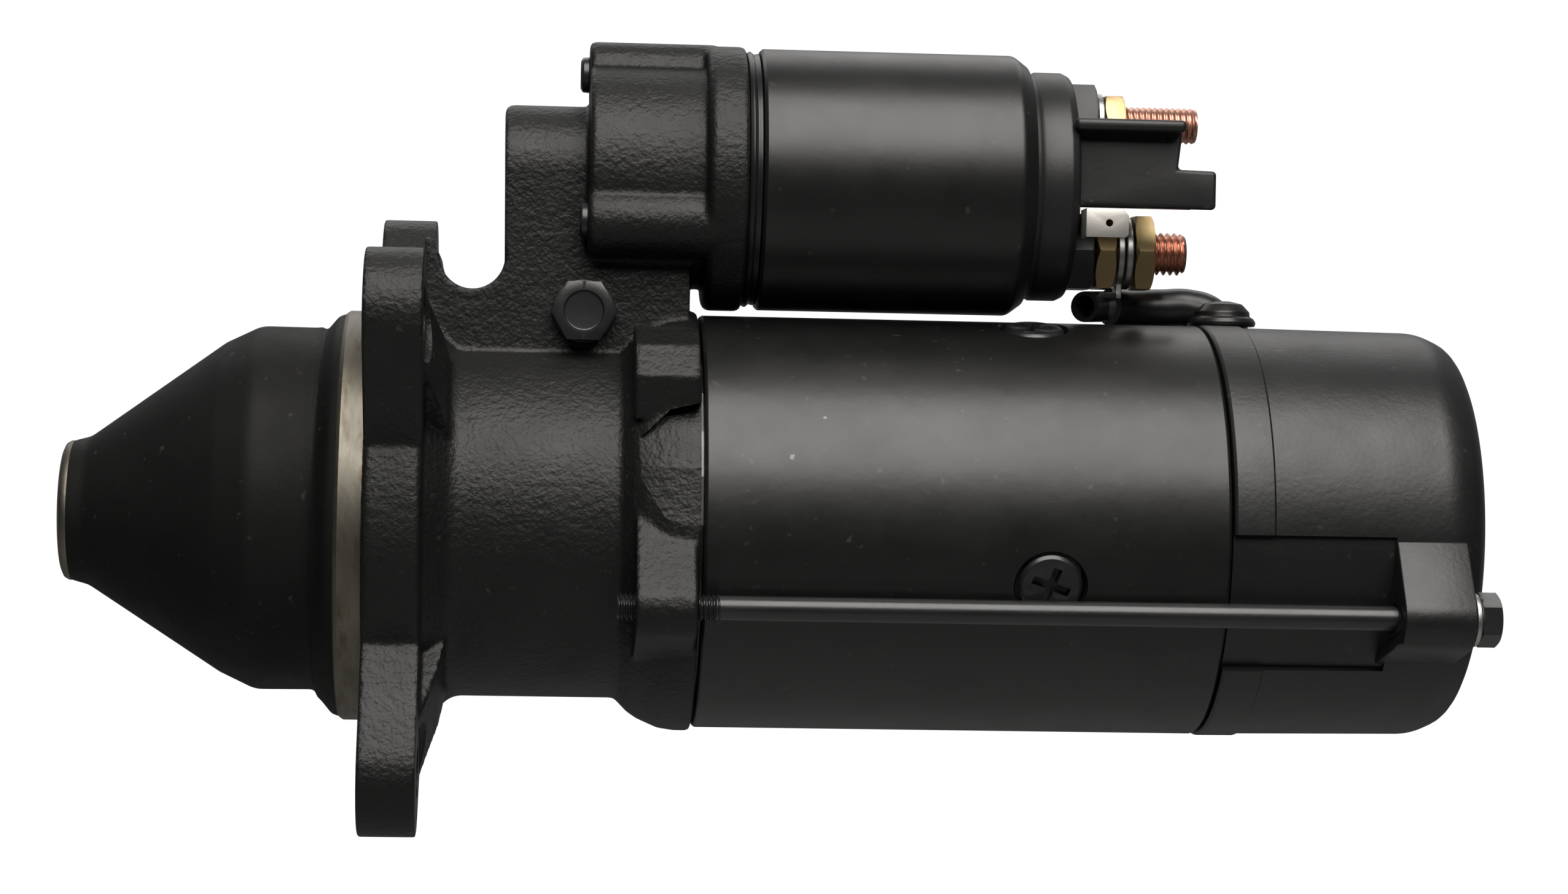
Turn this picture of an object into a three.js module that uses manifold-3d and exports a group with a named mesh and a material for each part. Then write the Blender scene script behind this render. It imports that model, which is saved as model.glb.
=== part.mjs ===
// A gear-reduction starter motor for a diesel engine, in millimetres.
// +X runs along the motor shaft from the nose to the rear cover, and +Z is up, towards the solenoid.
// The origin is on the shaft axis, in the plane of the mounting flange's front face.
import * as THREE from 'three';
import { mergeVertices } from 'three/addons/utils/BufferGeometryUtils.js';
import Module from 'manifold-3d';

const wasm = await Module();
wasm.setup();

// ---------------------------------------------------------------- driving dimensions
const GAP = 0.35; // room between pieces that touch on the real object
const FINE = 32; // sides of the large round castings
const ROUND = 24; // sides of medium round pieces
const SMALL = 12; // sides of small round pieces

const PILOT_R = 44.45; // 3.5 inch locating spigot
const PILOT_LENGTH = 5.6;
const FLANGE_T = 12.3;
const FLANGE_DISC_R = 48.5;
const EAR_CIRCLE_R = 65; // bolt holes to the shaft axis
const EAR_R = 13.5;
const EAR_HOLE_R = 5.5;
const GUSSET_HALF = 11; // half width of the rib behind each ear
const SPOT_FACE_R = 10;
const EAR_ANGLES = [-53.3, 40.8, 124.9]; // from -Y towards +Z
const NOSE_TIP_X = -65.7;
const NOSE_TIP_R = 15.2;
const NOSE_R = 39.3;
const NOSE_RISE = 1.3; // the cast nose sits a little higher than the spigot
const WALL = 5.3; // wall of the drive-end casting
const NECK_R = 38.8;
const ADAPTER_X = 53.7; // front of the wide ring that takes the motor body
const ADAPTER_R = 45.7;
const BODY_X = 70.3; // motor body starts here
const BODY_R = 45.05;
const BODY_WALL = 5.4;
const COVER_X = 181.2; // rear cover starts here
const COVER_R = 44.6;
const REAR_X = 238.6; // back of the rear cover
const COVER_WALL = 3.2;

const SOLENOID_Z = 75.1; // solenoid axis above the shaft axis
const SOLENOID_R = 28.6;
const SEAT_X = 79.6; // face that the solenoid is screwed to
const CAN_X = 82.7;
const CAN_END_X = 141.5;
const CAP_R = 25.1;
const CAP_END_X = 151.3;
const STUD_OFFSET = 14.2; // studs above and below the solenoid axis
const SCREW_CIRCLE_R = 22;
const SCREW_ANGLES = [90, -30, 210]; // from -Y towards +Z
const LEVER_HALF_WIDTH = 15; // outer half width of the lever housing
const LEVER_SLOT = 10; // inner half width
const SADDLE_Z = 49.3;

const PIVOT_X = 45.2;
const PIVOT_Z = 44.9;
const PIVOT_R = 4;
const PLUNGER_STROKE = 10;
const PLUNGER_R = 12.8;
const LEVER_TOP_X = PIVOT_X - PLUNGER_STROKE / 2;
const LEVER_ANGLE = Math.atan((PIVOT_X - LEVER_TOP_X) / (SOLENOID_Z - PIVOT_Z)); // lever's lean at rest
const COLLAR_X = PIVOT_X + PIVOT_Z * Math.tan(LEVER_ANGLE); // fork pins at rest
const FORK_PIN_R = 3;

const BOLT_CIRCLE_R = 49.5; // through bolts run outside the motor body
const BOLT_ANGLES = [-19.8, 160.2];
const BOLT_R = 2.65;
const POLE_ANGLE = -14.7;
const POLE_X = 143;
const POLES = 4;

const MODULE = 1.6; // planetary gears
const SUN_TEETH = 12;
const PLANET_TEETH = 15;
const RING_TEETH = 42;
const PLANETS = 3;
const PLANET_CIRCLE_R = (MODULE * (SUN_TEETH + PLANET_TEETH)) / 2;
const BACKLASH = 0.42;
const PINION_MODULE = 3;
const PINION_TEETH = 10;
const PINION_X = -31; // front of the pinion's teeth at rest
const PINION_WIDTH = 20;

// ---------------------------------------------------------------- geometry helpers
const rad = THREE.MathUtils.degToRad;
const TO_X = new THREE.Matrix4().makeBasis(
  new THREE.Vector3(0, 1, 0),
  new THREE.Vector3(0, 0, 1),
  new THREE.Vector3(1, 0, 0),
); // an outline drawn in x, y and extruded along z becomes one in Y, Z along X
const TO_Y = new THREE.Matrix4().makeBasis(
  new THREE.Vector3(1, 0, 0),
  new THREE.Vector3(0, 0, 1),
  new THREE.Vector3(0, -1, 0),
); // the same for an outline in X, Z, extruded towards -Y

// A closed geometry as a solid that can be joined and cut.
function solid(geometry) {
  const bare = geometry.index ? geometry.toNonIndexed() : geometry.clone();
  bare.deleteAttribute('normal');
  bare.deleteAttribute('uv');
  const merged = mergeVertices(bare, 1e-3);
  const index = merged.index.array;
  const kept = [];
  for (let i = 0; i < index.length; i += 3) {
    const [a, b, c] = [index[i], index[i + 1], index[i + 2]];
    if (a !== b && b !== c && c !== a) kept.push(a, b, c);
  }
  return new wasm.Manifold(
    new wasm.Mesh({
      numProp: 3,
      vertProperties: merged.attributes.position.array,
      triVerts: new Uint32Array(kept),
    }),
  );
}

function geometryOf(made) {
  const mesh = made.getMesh();
  const position = new Float32Array(mesh.numVert * 3);
  for (let i = 0; i < mesh.numVert; i++) {
    position.set(mesh.vertProperties.subarray(i * mesh.numProp, i * mesh.numProp + 3), i * 3);
  }
  const geometry = new THREE.BufferGeometry();
  geometry.setAttribute('position', new THREE.BufferAttribute(position, 3));
  geometry.setIndex(new THREE.BufferAttribute(mesh.triVerts, 1));
  return geometry;
}

// Revolves [x, radius] points about the X axis. The outline runs from front to back on its outer side.
function turned(points, sides = ROUND) {
  const outline = points.map(([x, r]) => new THREE.Vector2(r, x));
  return new THREE.LatheGeometry(outline, sides).rotateZ(-Math.PI / 2);
}

function rod(x0, x1, r, sides = SMALL) {
  return turned([[x0, 0], [x0, r], [x1, r], [x1, 0]], sides);
}

function tube(x0, x1, outer, inner, sides = ROUND) {
  return turned([[x0, inner], [x0, outer], [x1, outer], [x1, inner], [x0, inner]], sides);
}

// Extrudes an outline drawn in Y, Z from x0 to x1.
function alongX(shape, x0, x1, curveSegments = 12) {
  const made = new THREE.ExtrudeGeometry(shape, { depth: x1 - x0, bevelEnabled: false, curveSegments });
  return made.applyMatrix4(TO_X).translate(x0, 0, 0);
}

// Extrudes an outline drawn in X, Z from y0 to y1.
function alongY(shape, y0, y1, curveSegments = 12) {
  const made = new THREE.ExtrudeGeometry(shape, { depth: y1 - y0, bevelEnabled: false, curveSegments });
  return made.applyMatrix4(TO_Y).translate(0, y1, 0);
}

function box(x0, x1, y0, y1, z0, z1) {
  return new THREE.BoxGeometry(x1 - x0, y1 - y0, z1 - z0).translate((x0 + x1) / 2, (y0 + y1) / 2, (z0 + z1) / 2);
}

function polygon(points) {
  return new THREE.Shape(points.map(([a, b]) => new THREE.Vector2(a, b)));
}

// Angles are measured about the X axis from -Y towards +Z.
function spot(angle, r) {
  return [-r * Math.cos(rad(angle)), r * Math.sin(rad(angle))];
}

// Turns a geometry made on the -Y side of the X axis to an angle.
function swung(geometry, angle) {
  return geometry.rotateX(-rad(angle));
}

// A round boss at a distance on the -Y side, joined by tangents to a round root on the axis.
function earShape(distance, bossR, rootR) {
  const lean = Math.acos((rootR - bossR) / distance);
  const shape = new THREE.Shape();
  shape.absarc(-distance, 0, bossR, Math.PI - lean, Math.PI + lean, false);
  shape.absarc(0, 0, rootR, Math.PI + lean, 3 * Math.PI - lean, false);
  return shape;
}

function unite(first, ...rest) {
  return rest.reduce((sum, next) => sum.add(solid(next)), solid(first));
}

function cut(from, ...tools) {
  return tools.reduce((left, tool) => left.subtract(solid(tool)), from);
}

// Outline of a spur gear. addendum and dedendum are in modules, and slack narrows each tooth.
function gearShape(teeth, module, addendum, dedendum, slack, phase, flankPoints = 4) {
  const pitchR = (module * teeth) / 2;
  const pressure = rad(20);
  const baseR = pitchR * Math.cos(pressure);
  const rootR = pitchR - dedendum * module;
  const tipR = pitchR + addendum * module;
  const involute = (a) => Math.tan(a) - a;
  const halfAngle = (r) => {
    const a = r > baseR ? Math.acos(baseR / r) : 0;
    return Math.PI / (2 * teeth) - slack / (2 * pitchR) + involute(pressure) - involute(a);
  };
  const points = [];
  for (let tooth = 0; tooth < teeth; tooth++) {
    const middle = phase + (2 * Math.PI * tooth) / teeth;
    const flank = [];
    for (let i = 0; i < flankPoints; i++) {
      const r = rootR + ((tipR - rootR) * i) / (flankPoints - 1);
      flank.push([r, halfAngle(r)]);
    }
    for (const [r, half] of flank) points.push([r * Math.cos(middle - half), r * Math.sin(middle - half)]);
    for (const [r, half] of flank.reverse()) points.push([r * Math.cos(middle + half), r * Math.sin(middle + half)]);
  }
  return polygon(points);
}

// A hexagon across its flats, with a flat or a corner on top.
function hexShape(flats, cornerUp) {
  const corner = flats / Math.sqrt(3);
  const points = [];
  for (let i = 0; i < 6; i++) {
    const a = (Math.PI / 3) * i + (cornerUp ? Math.PI / 6 : 0);
    points.push([corner * Math.cos(a), corner * Math.sin(a)]);
  }
  return polygon(points);
}

// ---------------------------------------------------------------- materials
function metal(color, roughness, metalness) {
  return new THREE.MeshStandardMaterial({ color, roughness, metalness });
}
const blackCasting = metal(0x17181a, 0.5, 0.2);
const blackPaint = metal(0x141414, 0.4, 0.1);
const blackSteel = metal(0x1b1b1c, 0.4, 0.6);
const blackPlastic = metal(0x191919, 0.55, 0);
const blackRubber = metal(0x101010, 0.5, 0);
const zincSteel = metal(0xb9bcbc, 0.35, 0.9);
const steel = metal(0x8a8a88, 0.4, 0.9);
const copper = metal(0xb8643f, 0.35, 1);
const brass = metal(0xc9a24e, 0.35, 1);
const bronze = metal(0x9c7440, 0.5, 0.9);
const carbon = metal(0x2b2725, 0.7, 0.2);
const tinPlate = metal(0xb5b0a8, 0.5, 0.8);

const starter = new THREE.Group();

function place(parent, name, made, material) {
  const geometry = made instanceof THREE.BufferGeometry ? made : geometryOf(made);
  const mesh = new THREE.Mesh(geometry, material);
  mesh.name = name;
  parent.add(mesh);
  return mesh;
}

// ---------------------------------------------------------------- drive-end housing
const CONE_BACK_X = -29;
const CAVITY_R = 33.5;
const GEAR_BORE_R = 39.5;
const GEAR_BORE_X = 59;
const LEVER_FRONT_X = 27.6;
const BLOCK_X = 45.8; // front of the solenoid mounting block
const RING_X = 71.2; // front of the round solenoid seat

function housingShell() {
  const noseEndX = -10.6;
  const shell = turned(
    [
      [NOSE_TIP_X, 0], [NOSE_TIP_X, NOSE_TIP_R - 1], [NOSE_TIP_X + 1, NOSE_TIP_R], [-60.2, 15.6],
      [CONE_BACK_X - 1.5, 35.9], [-24, NOSE_R], [noseEndX, NOSE_R], [-7.2, PILOT_R - 1.6], [-PILOT_LENGTH, PILOT_R],
      [1, PILOT_R], [FLANGE_T, NECK_R + 5], [16, NECK_R], [ADAPTER_X, NECK_R], [57.8, 43], [65, ADAPTER_R],
      [BODY_X - GAP, ADAPTER_R], [BODY_X - GAP, 0],
    ],
    FINE,
  );
  const position = shell.getAttribute('position');
  for (let i = 0; i < position.count; i++) {
    const x = position.getX(i);
    const share = THREE.MathUtils.clamp((x + 60) / (CONE_BACK_X + 60), 0, 1);
    if (x < noseEndX + 0.1) position.setZ(i, position.getZ(i) + NOSE_RISE * share);
  }
  return shell;
}

function leverHousing() {
  const saddleR = 7.2;
  const topZ = SOLENOID_Z + LEVER_HALF_WIDTH;
  const side = new THREE.Shape();
  side.moveTo(FLANGE_T - 1, 30);
  side.lineTo(BODY_X - 1, 30);
  side.lineTo(BODY_X - 1, topZ);
  side.lineTo(LEVER_FRONT_X + 2, topZ);
  side.absarc(LEVER_FRONT_X + 2, topZ - 2, 2, Math.PI / 2, Math.PI, false);
  side.absarc(LEVER_FRONT_X - saddleR, SADDLE_Z + saddleR, saddleR, 0, -Math.PI, true);
  side.lineTo(LEVER_FRONT_X - 2 * saddleR, SADDLE_Z + 10.5);
  side.lineTo(FLANGE_T - 1, SADDLE_Z + 10.5);
  const section = new THREE.Shape();
  section.moveTo(-LEVER_HALF_WIDTH, 30);
  section.lineTo(LEVER_HALF_WIDTH, 30);
  section.absarc(0, SOLENOID_Z, LEVER_HALF_WIDTH, 0, Math.PI, false);
  return solid(alongY(side, -LEVER_HALF_WIDTH, LEVER_HALF_WIDTH, 6)).intersect(
    solid(alongX(section, FLANGE_T - 1, BODY_X - 1, 14)),
  );
}

function solenoidSeat() {
  const bosses = SCREW_ANGLES.map((angle) => {
    const [y, z] = spot(angle, SCREW_CIRCLE_R);
    return rod(BLOCK_X, RING_X + 1, 7.3, SMALL).translate(0, y, z);
  });
  const seat = unite(
    rod(BLOCK_X, RING_X + 1, 24.4, ROUND),
    turned([[RING_X, 0], [RING_X, 27.6], [RING_X + 0.8, 28.9], [SEAT_X - 0.8, 28.9], [SEAT_X, 28.2], [SEAT_X, 0]]),
    ...bosses,
  );
  return seat.translate([0, 0, SOLENOID_Z]);
}

function flangePlate() {
  const ears = EAR_ANGLES.map((angle) => swung(alongX(earShape(EAR_CIRCLE_R, EAR_R, 27), 0, FLANGE_T, 8), angle));
  const gusset = polygon([[FLANGE_T - 1, 34], [18.5, 34], [16.2, 47], [FLANGE_T, 60], [FLANGE_T - 1, 60]]);
  const gussets = EAR_ANGLES.map((angle) => swung(alongY(gusset, -GUSSET_HALF, GUSSET_HALF, 1), angle - 90));
  const spots = EAR_ANGLES.map((angle) => spot(angle, EAR_CIRCLE_R));
  const holes = spots.map(([y, z]) => rod(-1, FLANGE_T + 1, EAR_HOLE_R).translate(0, y, z));
  const spotFaces = spots.map(([y, z]) => rod(FLANGE_T, 20, SPOT_FACE_R, 16).translate(0, y, z));
  return cut(unite(rod(0, FLANGE_T, FLANGE_DISC_R, FINE), ...ears, ...gussets), ...holes, ...spotFaces);
}

function boltLugs() {
  const lug = (angle) => swung(alongX(earShape(BOLT_CIRCLE_R, 6.6, 36), 56.4, 69, 5), angle);
  const shoulder = polygon([[-20, 22], [-20, 41.5], [-34.5, 38.6], [-37.8, 34.5], [-37.8, 22]]);
  return unite(...BOLT_ANGLES.map(lug), alongX(shoulder, 56.4, 69));
}

function driveEndHousing() {
  const pocket = polygon([[-54, 22], [-36.5, 22], [-45.4, 1], [-54, -5]]);
  const outside = cut(solid(housingShell()), alongX(pocket, 57.5, 67.5))
    .add(flangePlate())
    .add(leverHousing())
    .add(solenoidSeat())
    .add(boltLugs());
  const cavity = turned(
    [
      [-50.5, 0], [-50.5, 16.5], [-26, CAVITY_R], [GEAR_BORE_X, CAVITY_R],
      [GEAR_BORE_X, GEAR_BORE_R], [BODY_X, GEAR_BORE_R], [BODY_X, 0],
    ],
    ROUND,
  );
  const plungerSpace = turned([[31.5, 0], [31.5, 11], [BLOCK_X, 11], [BLOCK_X, 15], [SEAT_X + 1, 15], [SEAT_X + 1, 0]], 32);
  const window = box(-51, -12, 12, 60, -25, 25);
  const screwHoles = SCREW_ANGLES.map((angle) => {
    const [y, z] = spot(angle, SCREW_CIRCLE_R);
    return rod(BLOCK_X - 1, SEAT_X + 1, 3.4, 16).translate(0, y, SOLENOID_Z + z);
  });
  const boltHoles = BOLT_ANGLES.map((angle) => {
    const [y, z] = spot(angle, BOLT_CIRCLE_R);
    return rod(50, BODY_X, BOLT_R + GAP, 16).translate(0, y, z);
  });
  return cut(
    outside,
    cavity,
    rod(NOSE_TIP_X + 1.7, -50, 8.7, 32),
    plungerSpace.translate(0, 0, SOLENOID_Z),
    box(31.5, 58, -LEVER_SLOT, LEVER_SLOT, 20, SOLENOID_Z),
    window,
    rod(-20, 20, PIVOT_R + GAP, 20).rotateZ(Math.PI / 2).translate(PIVOT_X, 0, PIVOT_Z),
    ...screwHoles,
    ...boltHoles,
  );
}

place(starter, 'drive_end_housing', driveEndHousing(), blackCasting);
place(starter, 'nose_bush', tube(-63.6, -50.8, 8.35, 6.3, 32), bronze);

// ---------------------------------------------------------------- shift lever and its pivot bolt
const pivotHeadY = -LEVER_HALF_WIDTH - GAP;
const pivotBolt = unite(
  alongX(hexShape(12, true), pivotHeadY - 5, pivotHeadY).rotateZ(Math.PI / 2).rotateY(Math.PI / 12),
  rod(pivotHeadY - 0.5, LEVER_HALF_WIDTH - 0.5, PIVOT_R, 20).rotateZ(Math.PI / 2),
);
const pivotMesh = place(starter, 'lever_pivot_bolt', pivotBolt, blackSteel);
pivotMesh.position.set(PIVOT_X, 0, PIVOT_Z);

function shiftLever() {
  const forkInner = 23.6;
  const forkOuter = 29.4;
  const fork = new THREE.Shape();
  fork.absarc(0, 0, forkOuter, 0, Math.PI, false);
  fork.absarc(0, 0, forkInner, Math.PI, 0, true);
  const headZ = (SOLENOID_Z - PIVOT_Z) / Math.cos(LEVER_ANGLE);
  const forkZ = -PIVOT_Z / Math.cos(LEVER_ANGLE);
  const pins = [0, Math.PI].map((turn) =>
    rod(17.8, forkOuter - 1, FORK_PIN_R, 16).rotateZ(Math.PI / 2 + turn).translate(0, 0, forkZ),
  );
  const hub = rod(-9, 9, 7.5, SMALL).rotateZ(Math.PI / 2);
  const head = rod(-5, 5, 4.5, 20).rotateZ(Math.PI / 2).translate(0, 0, headZ);
  const lever = unite(
    alongX(fork, -2.6, 2.6, 14).translate(0, 0, forkZ),
    ...pins,
    box(-2.6, 2.6, -7, 7, forkZ + forkInner + 2, 0),
    hub,
    box(-2.4, 2.4, -4.6, 4.6, 0, headZ),
    head,
  );
  return cut(lever, rod(-12, 12, PIVOT_R + GAP, 20).rotateZ(Math.PI / 2));
}
const lever = place(starter, 'shift_lever', shiftLever(), steel);
lever.position.set(PIVOT_X, 0, PIVOT_Z);
lever.rotation.y = -LEVER_ANGLE;

// ---------------------------------------------------------------- planetary gears
const PLATE_X = 59.7;
const CARRIER_X = 65.2;
const GEAR_X = 70;
const GEAR_END_X = 83;
const SHAFT_R = 10;

place(starter, 'centre_bearing_plate', tube(PLATE_X, 64.6, 39, SHAFT_R + GAP, ROUND), steel);
const ringSpace = alongX(
  gearShape(RING_TEETH, MODULE, 1.1, 0.72, -BACKLASH / 2, Math.PI / 2, 2), 64, 90, 1);
place(starter, 'ring_gear', cut(solid(rod(65, 86, 39.1, ROUND)), ringSpace, rod(64, 69, 33.5, ROUND)), steel);

const shaftProfile = [
  [-63.2, 0], [-63.2, 5.95], [-44, 5.95], [-44, 6.8], [-38, 7.4], [18, 7.4], [18, SHAFT_R], [CARRIER_X, SHAFT_R],
  [CARRIER_X, 28.5], [69.3, 28.5], [69.3, 0],
];
const planetSpots = Array.from({ length: PLANETS }, (_, i) => 90 + (360 / PLANETS) * i);
const carrierPins = planetSpots.map((angle) => {
  const [y, z] = spot(angle, PLANET_CIRCLE_R);
  return rod(69, 84.2, 3.9, 20).translate(0, y, z);
});
place(starter, 'output_shaft', cut(unite(turned(shaftProfile, 32), ...carrierPins), rod(60, 70, 4.5)), steel);

planetSpots.forEach((angle, i) => {
  const towardRing = Math.PI - rad(angle);
  const outline = gearShape(PLANET_TEETH, MODULE, 0.8, 1.15, BACKLASH, 0, 3);
  outline.holes.push(new THREE.Path().absarc(0, 0, 3.9 + GAP, 0, 2 * Math.PI, true));
  const planet = place(starter, `planet_gear_${i + 1}`, alongX(outline, GEAR_X, GEAR_END_X, 6), steel);
  const [y, z] = spot(angle, PLANET_CIRCLE_R);
  planet.position.set(0, y, z);
  planet.rotation.x = towardRing;
});

// ---------------------------------------------------------------- drive: pinion and overrunning clutch
const drive = new THREE.Group();
starter.add(drive);
const hubEndX = 16;
const pinionTeeth = alongX(gearShape(PINION_TEETH, PINION_MODULE, 0.95, 1.15, 0.3, 0, 4), PINION_X, PINION_X + PINION_WIDTH, 1);
place(
  drive,
  'pinion',
  cut(unite(pinionTeeth, rod(PINION_X + PINION_WIDTH - 1, hubEndX, 13.9, 32)), rod(-40, 20, 7.4 + GAP, SMALL)),
  steel,
);
const SHELL_X = -9;
const SLEEVE_X = 22;
const GROOVE = FORK_PIN_R + 0.5; // half width of the fork's groove
place(
  drive,
  'clutch_shell',
  turned([
    [SHELL_X, 14.4], [SHELL_X, 24.6], [SHELL_X + 1.2, 26], [16, 26], [19, 22], [SLEEVE_X, 13.5],
    [COLLAR_X - GROOVE - 2.6, 13.5], [COLLAR_X - GROOVE - 2.6, 22], [COLLAR_X - GROOVE, 22], [COLLAR_X - GROOVE, 17],
    [COLLAR_X + GROOVE, 17], [COLLAR_X + GROOVE, 22], [COLLAR_X + GROOVE + 2.2, 22],
    [COLLAR_X + GROOVE + 2.2, SHAFT_R + GAP], [20, SHAFT_R + GAP], [hubEndX + 0.6, SHAFT_R + GAP], [hubEndX + 0.6, 14.4],
    [SHELL_X, 14.4],
  ]),
  steel,
);
place(starter, 'pinion_stop_ring', tube(-49.6, -47, 9.6, 6.4, SMALL), blackSteel);

// ---------------------------------------------------------------- armature
const armature = new THREE.Group();
starter.add(armature);
const CORE_X = 110;
const CORE_END_X = 168;
const CORE_R = 28.8;
const ARMATURE_SHAFT_R = 8;
const sun = alongX(gearShape(SUN_TEETH, MODULE, 0.8, 1.15, BACKLASH, 0, 3), GEAR_X - 0.2, 84.5, 1);
const armatureShaft = unite(
  sun,
  rod(62, 71, 4),
  turned([[84, 0], [84, ARMATURE_SHAFT_R], [212, ARMATURE_SHAFT_R], [212, 6], [231, 6], [231, 0]], SMALL),
);
place(armature, 'armature_shaft', armatureShaft, steel);

const SLOTS = 15;
function slottedCore() {
  const slots = SLOTS;
  const outline = [];
  for (let i = 0; i < slots; i++) {
    const middle = (2 * Math.PI * i) / slots;
    const tooth = (Math.PI / slots) * 0.62;
    const foot = (Math.PI / slots) * 0.5;
    outline.push(
      [20 * Math.cos(middle - foot), 20 * Math.sin(middle - foot)],
      [CORE_R * Math.cos(middle - tooth), CORE_R * Math.sin(middle - tooth)],
      [CORE_R * Math.cos(middle + tooth), CORE_R * Math.sin(middle + tooth)],
      [20 * Math.cos(middle + foot), 20 * Math.sin(middle + foot)],
    );
  }
  const shape = polygon(outline);
  shape.holes.push(new THREE.Path().absarc(0, 0, ARMATURE_SHAFT_R + GAP, 0, 2 * Math.PI, true));
  return alongX(shape, CORE_X, CORE_END_X, SMALL);
}
place(armature, 'armature_core', slottedCore(), steel);
const bars = [];
for (let i = 0; i < SLOTS; i++) {
  const bar = box(CORE_X - 3, CORE_END_X + 3, -1, 1, 20.6, 26.6);
  bars.push(bar.rotateX((2 * Math.PI * (i + 0.5)) / SLOTS - Math.PI / 2));
}
const endTurns = (x0, x1) => turned([[x0, 11], [x0, 20], [x0 + 3, 26.6], [x1, 27.2], [x1, 11], [x0, 11]], 20);
const windings = unite(
  endTurns(97, CORE_X - GAP),
  turned([
    [CORE_END_X + GAP, 11], [CORE_END_X + GAP, 27.2], [177, 26.6], [181, 20], [181, 11], [CORE_END_X + GAP, 11],
  ], 20),
  ...bars,
);
place(armature, 'armature_windings', windings, copper);
place(
  armature,
  'commutator',
  turned([[181.5, 8.4], [181.5, 22], [185, 22], [185, 19], [208, 19], [208, 8.4], [181.5, 8.4]], 38),
  copper,
);

// ---------------------------------------------------------------- motor body: tube, poles and field coils
const POLE_INNER_R = 29.6;
const TUBE_INNER_R = BODY_R - BODY_WALL;
const poleAngles = Array.from({ length: POLES }, (_, i) => POLE_ANGLE + (360 / POLES) * i);
const SCREW_HEAD_R = 6.9;

// A screw pointing at the axis from the -Y side.
function poleScrew(extra) {
  return turned(
    [
      [-BODY_R - 0.1, 0], [-BODY_R - 0.1, SCREW_HEAD_R - 0.8 + extra], [-BODY_R + 0.9, SCREW_HEAD_R + extra],
      [-BODY_R + 4.6, 4 + extra], [-33 + extra, 4 + extra], [-33 + extra, 0],
    ],
    SMALL,
  ).rotateZ(Math.PI / 2).translate(POLE_X, 0, 0);
}

const poleHoles = poleAngles.map((angle) => swung(poleScrew(GAP), angle));
const openings = poleAngles.map((angle) => swung(rod(-BODY_R - 4, -BODY_R + 0.5, SCREW_HEAD_R + GAP).rotateZ(Math.PI / 2).translate(POLE_X, 0, 0), angle));
place(
  starter,
  'yoke_tube',
  cut(
    solid(turned([
      [BODY_X, TUBE_INNER_R], [BODY_X, BODY_R - 0.7], [BODY_X + 0.7, BODY_R], [COVER_X - 1.1, BODY_R],
      [COVER_X - 0.4, BODY_R - 0.7], [COVER_X - 0.4, TUBE_INNER_R], [BODY_X, TUBE_INNER_R],
    ], FINE)),
    ...poleHoles,
    ...openings,
  ),
  blackPaint,
);

function arcBlock(inner, outer, halfAngle) {
  const a = rad(halfAngle);
  const shape = new THREE.Shape();
  shape.absarc(0, 0, outer, Math.PI - a, Math.PI + a, false);
  shape.absarc(0, 0, inner, Math.PI + a, Math.PI - a, true);
  return shape;
}
const SHOE_X = POLE_X - 34;
const SHOE_END_X = POLE_X + 30;
poleAngles.forEach((angle, i) => {
  const shoe = cut(
    unite(
      alongX(arcBlock(33, TUBE_INNER_R - GAP, 21), SHOE_X, SHOE_END_X, 5),
      alongX(arcBlock(POLE_INNER_R, 33.4, 33), SHOE_X, SHOE_END_X, 7),
    ),
    poleScrew(GAP),
  );
  const shoeMesh = place(starter, `pole_shoe_${i + 1}`, shoe, steel);
  shoeMesh.rotation.x = -rad(angle);
  const screw = place(starter, `pole_screw_${i + 1}`, poleScrew(0), blackSteel);
  screw.rotation.x = -rad(angle);
});

function fieldCoils() {
  const coils = poleAngles.map((angle) => {
    const ring = cut(
      solid(alongX(arcBlock(34, TUBE_INNER_R - GAP, 35), SHOE_X - 9, SHOE_END_X + 7, 4)),
      alongX(arcBlock(30, 45, 22), SHOE_X - GAP, SHOE_END_X + GAP, 1),
    );
    return solid(swung(geometryOf(ring), angle));
  });
  const strap = solid(tube(SHOE_END_X + 3, SHOE_END_X + 6, TUBE_INNER_R - GAP, 35.5, ROUND));
  return coils.reduce((sum, coil) => sum.add(coil), strap);
}
place(starter, 'field_coil_set', fieldCoils(), copper);

// ---------------------------------------------------------------- brush gear
const BRUSH_X = 190;
const BRUSH_END_X = 205;
const BRUSH_HALF = 4;
const BRUSHES = 4;
const brushAngles = Array.from({ length: BRUSHES }, (_, i) => 25 + (360 / BRUSHES) * i);

function brushPlate() {
  const holders = brushAngles.map((angle) => {
    const walls = cut(
      solid(box(186.5, BRUSH_END_X + 2, -37, -22.5, -BRUSH_HALF - 2, BRUSH_HALF + 2)),
      box(BRUSH_X - GAP, BRUSH_END_X + GAP, -45, -10, -BRUSH_HALF - GAP, BRUSH_HALF + GAP),
    );
    return solid(swung(geometryOf(walls), angle));
  });
  return holders.reduce((sum, holder) => sum.add(holder), solid(tube(185.5, 187.5, 39.2, 22.5, ROUND)));
}
place(starter, 'brush_plate', brushPlate(), tinPlate);
brushAngles.forEach((angle, i) => {
  const brush = place(starter, `brush_${i + 1}`, box(BRUSH_X, BRUSH_END_X, -33, -19.4, -BRUSH_HALF, BRUSH_HALF), carbon);
  brush.rotation.x = -rad(angle);
});

// ---------------------------------------------------------------- rear cover
const EAR_FRONT_X = 215.6;
const EAR_BACK_X = 231.2;
const RECESS_R = 43.8; // the cover is lower beside each through bolt
const GROMMET_SLOT_R = 6.35; // half width of the slot that the lead's grommet slides into
const GROMMET_X = 187.8;
const GROMMET_Y = 6.5;

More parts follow.
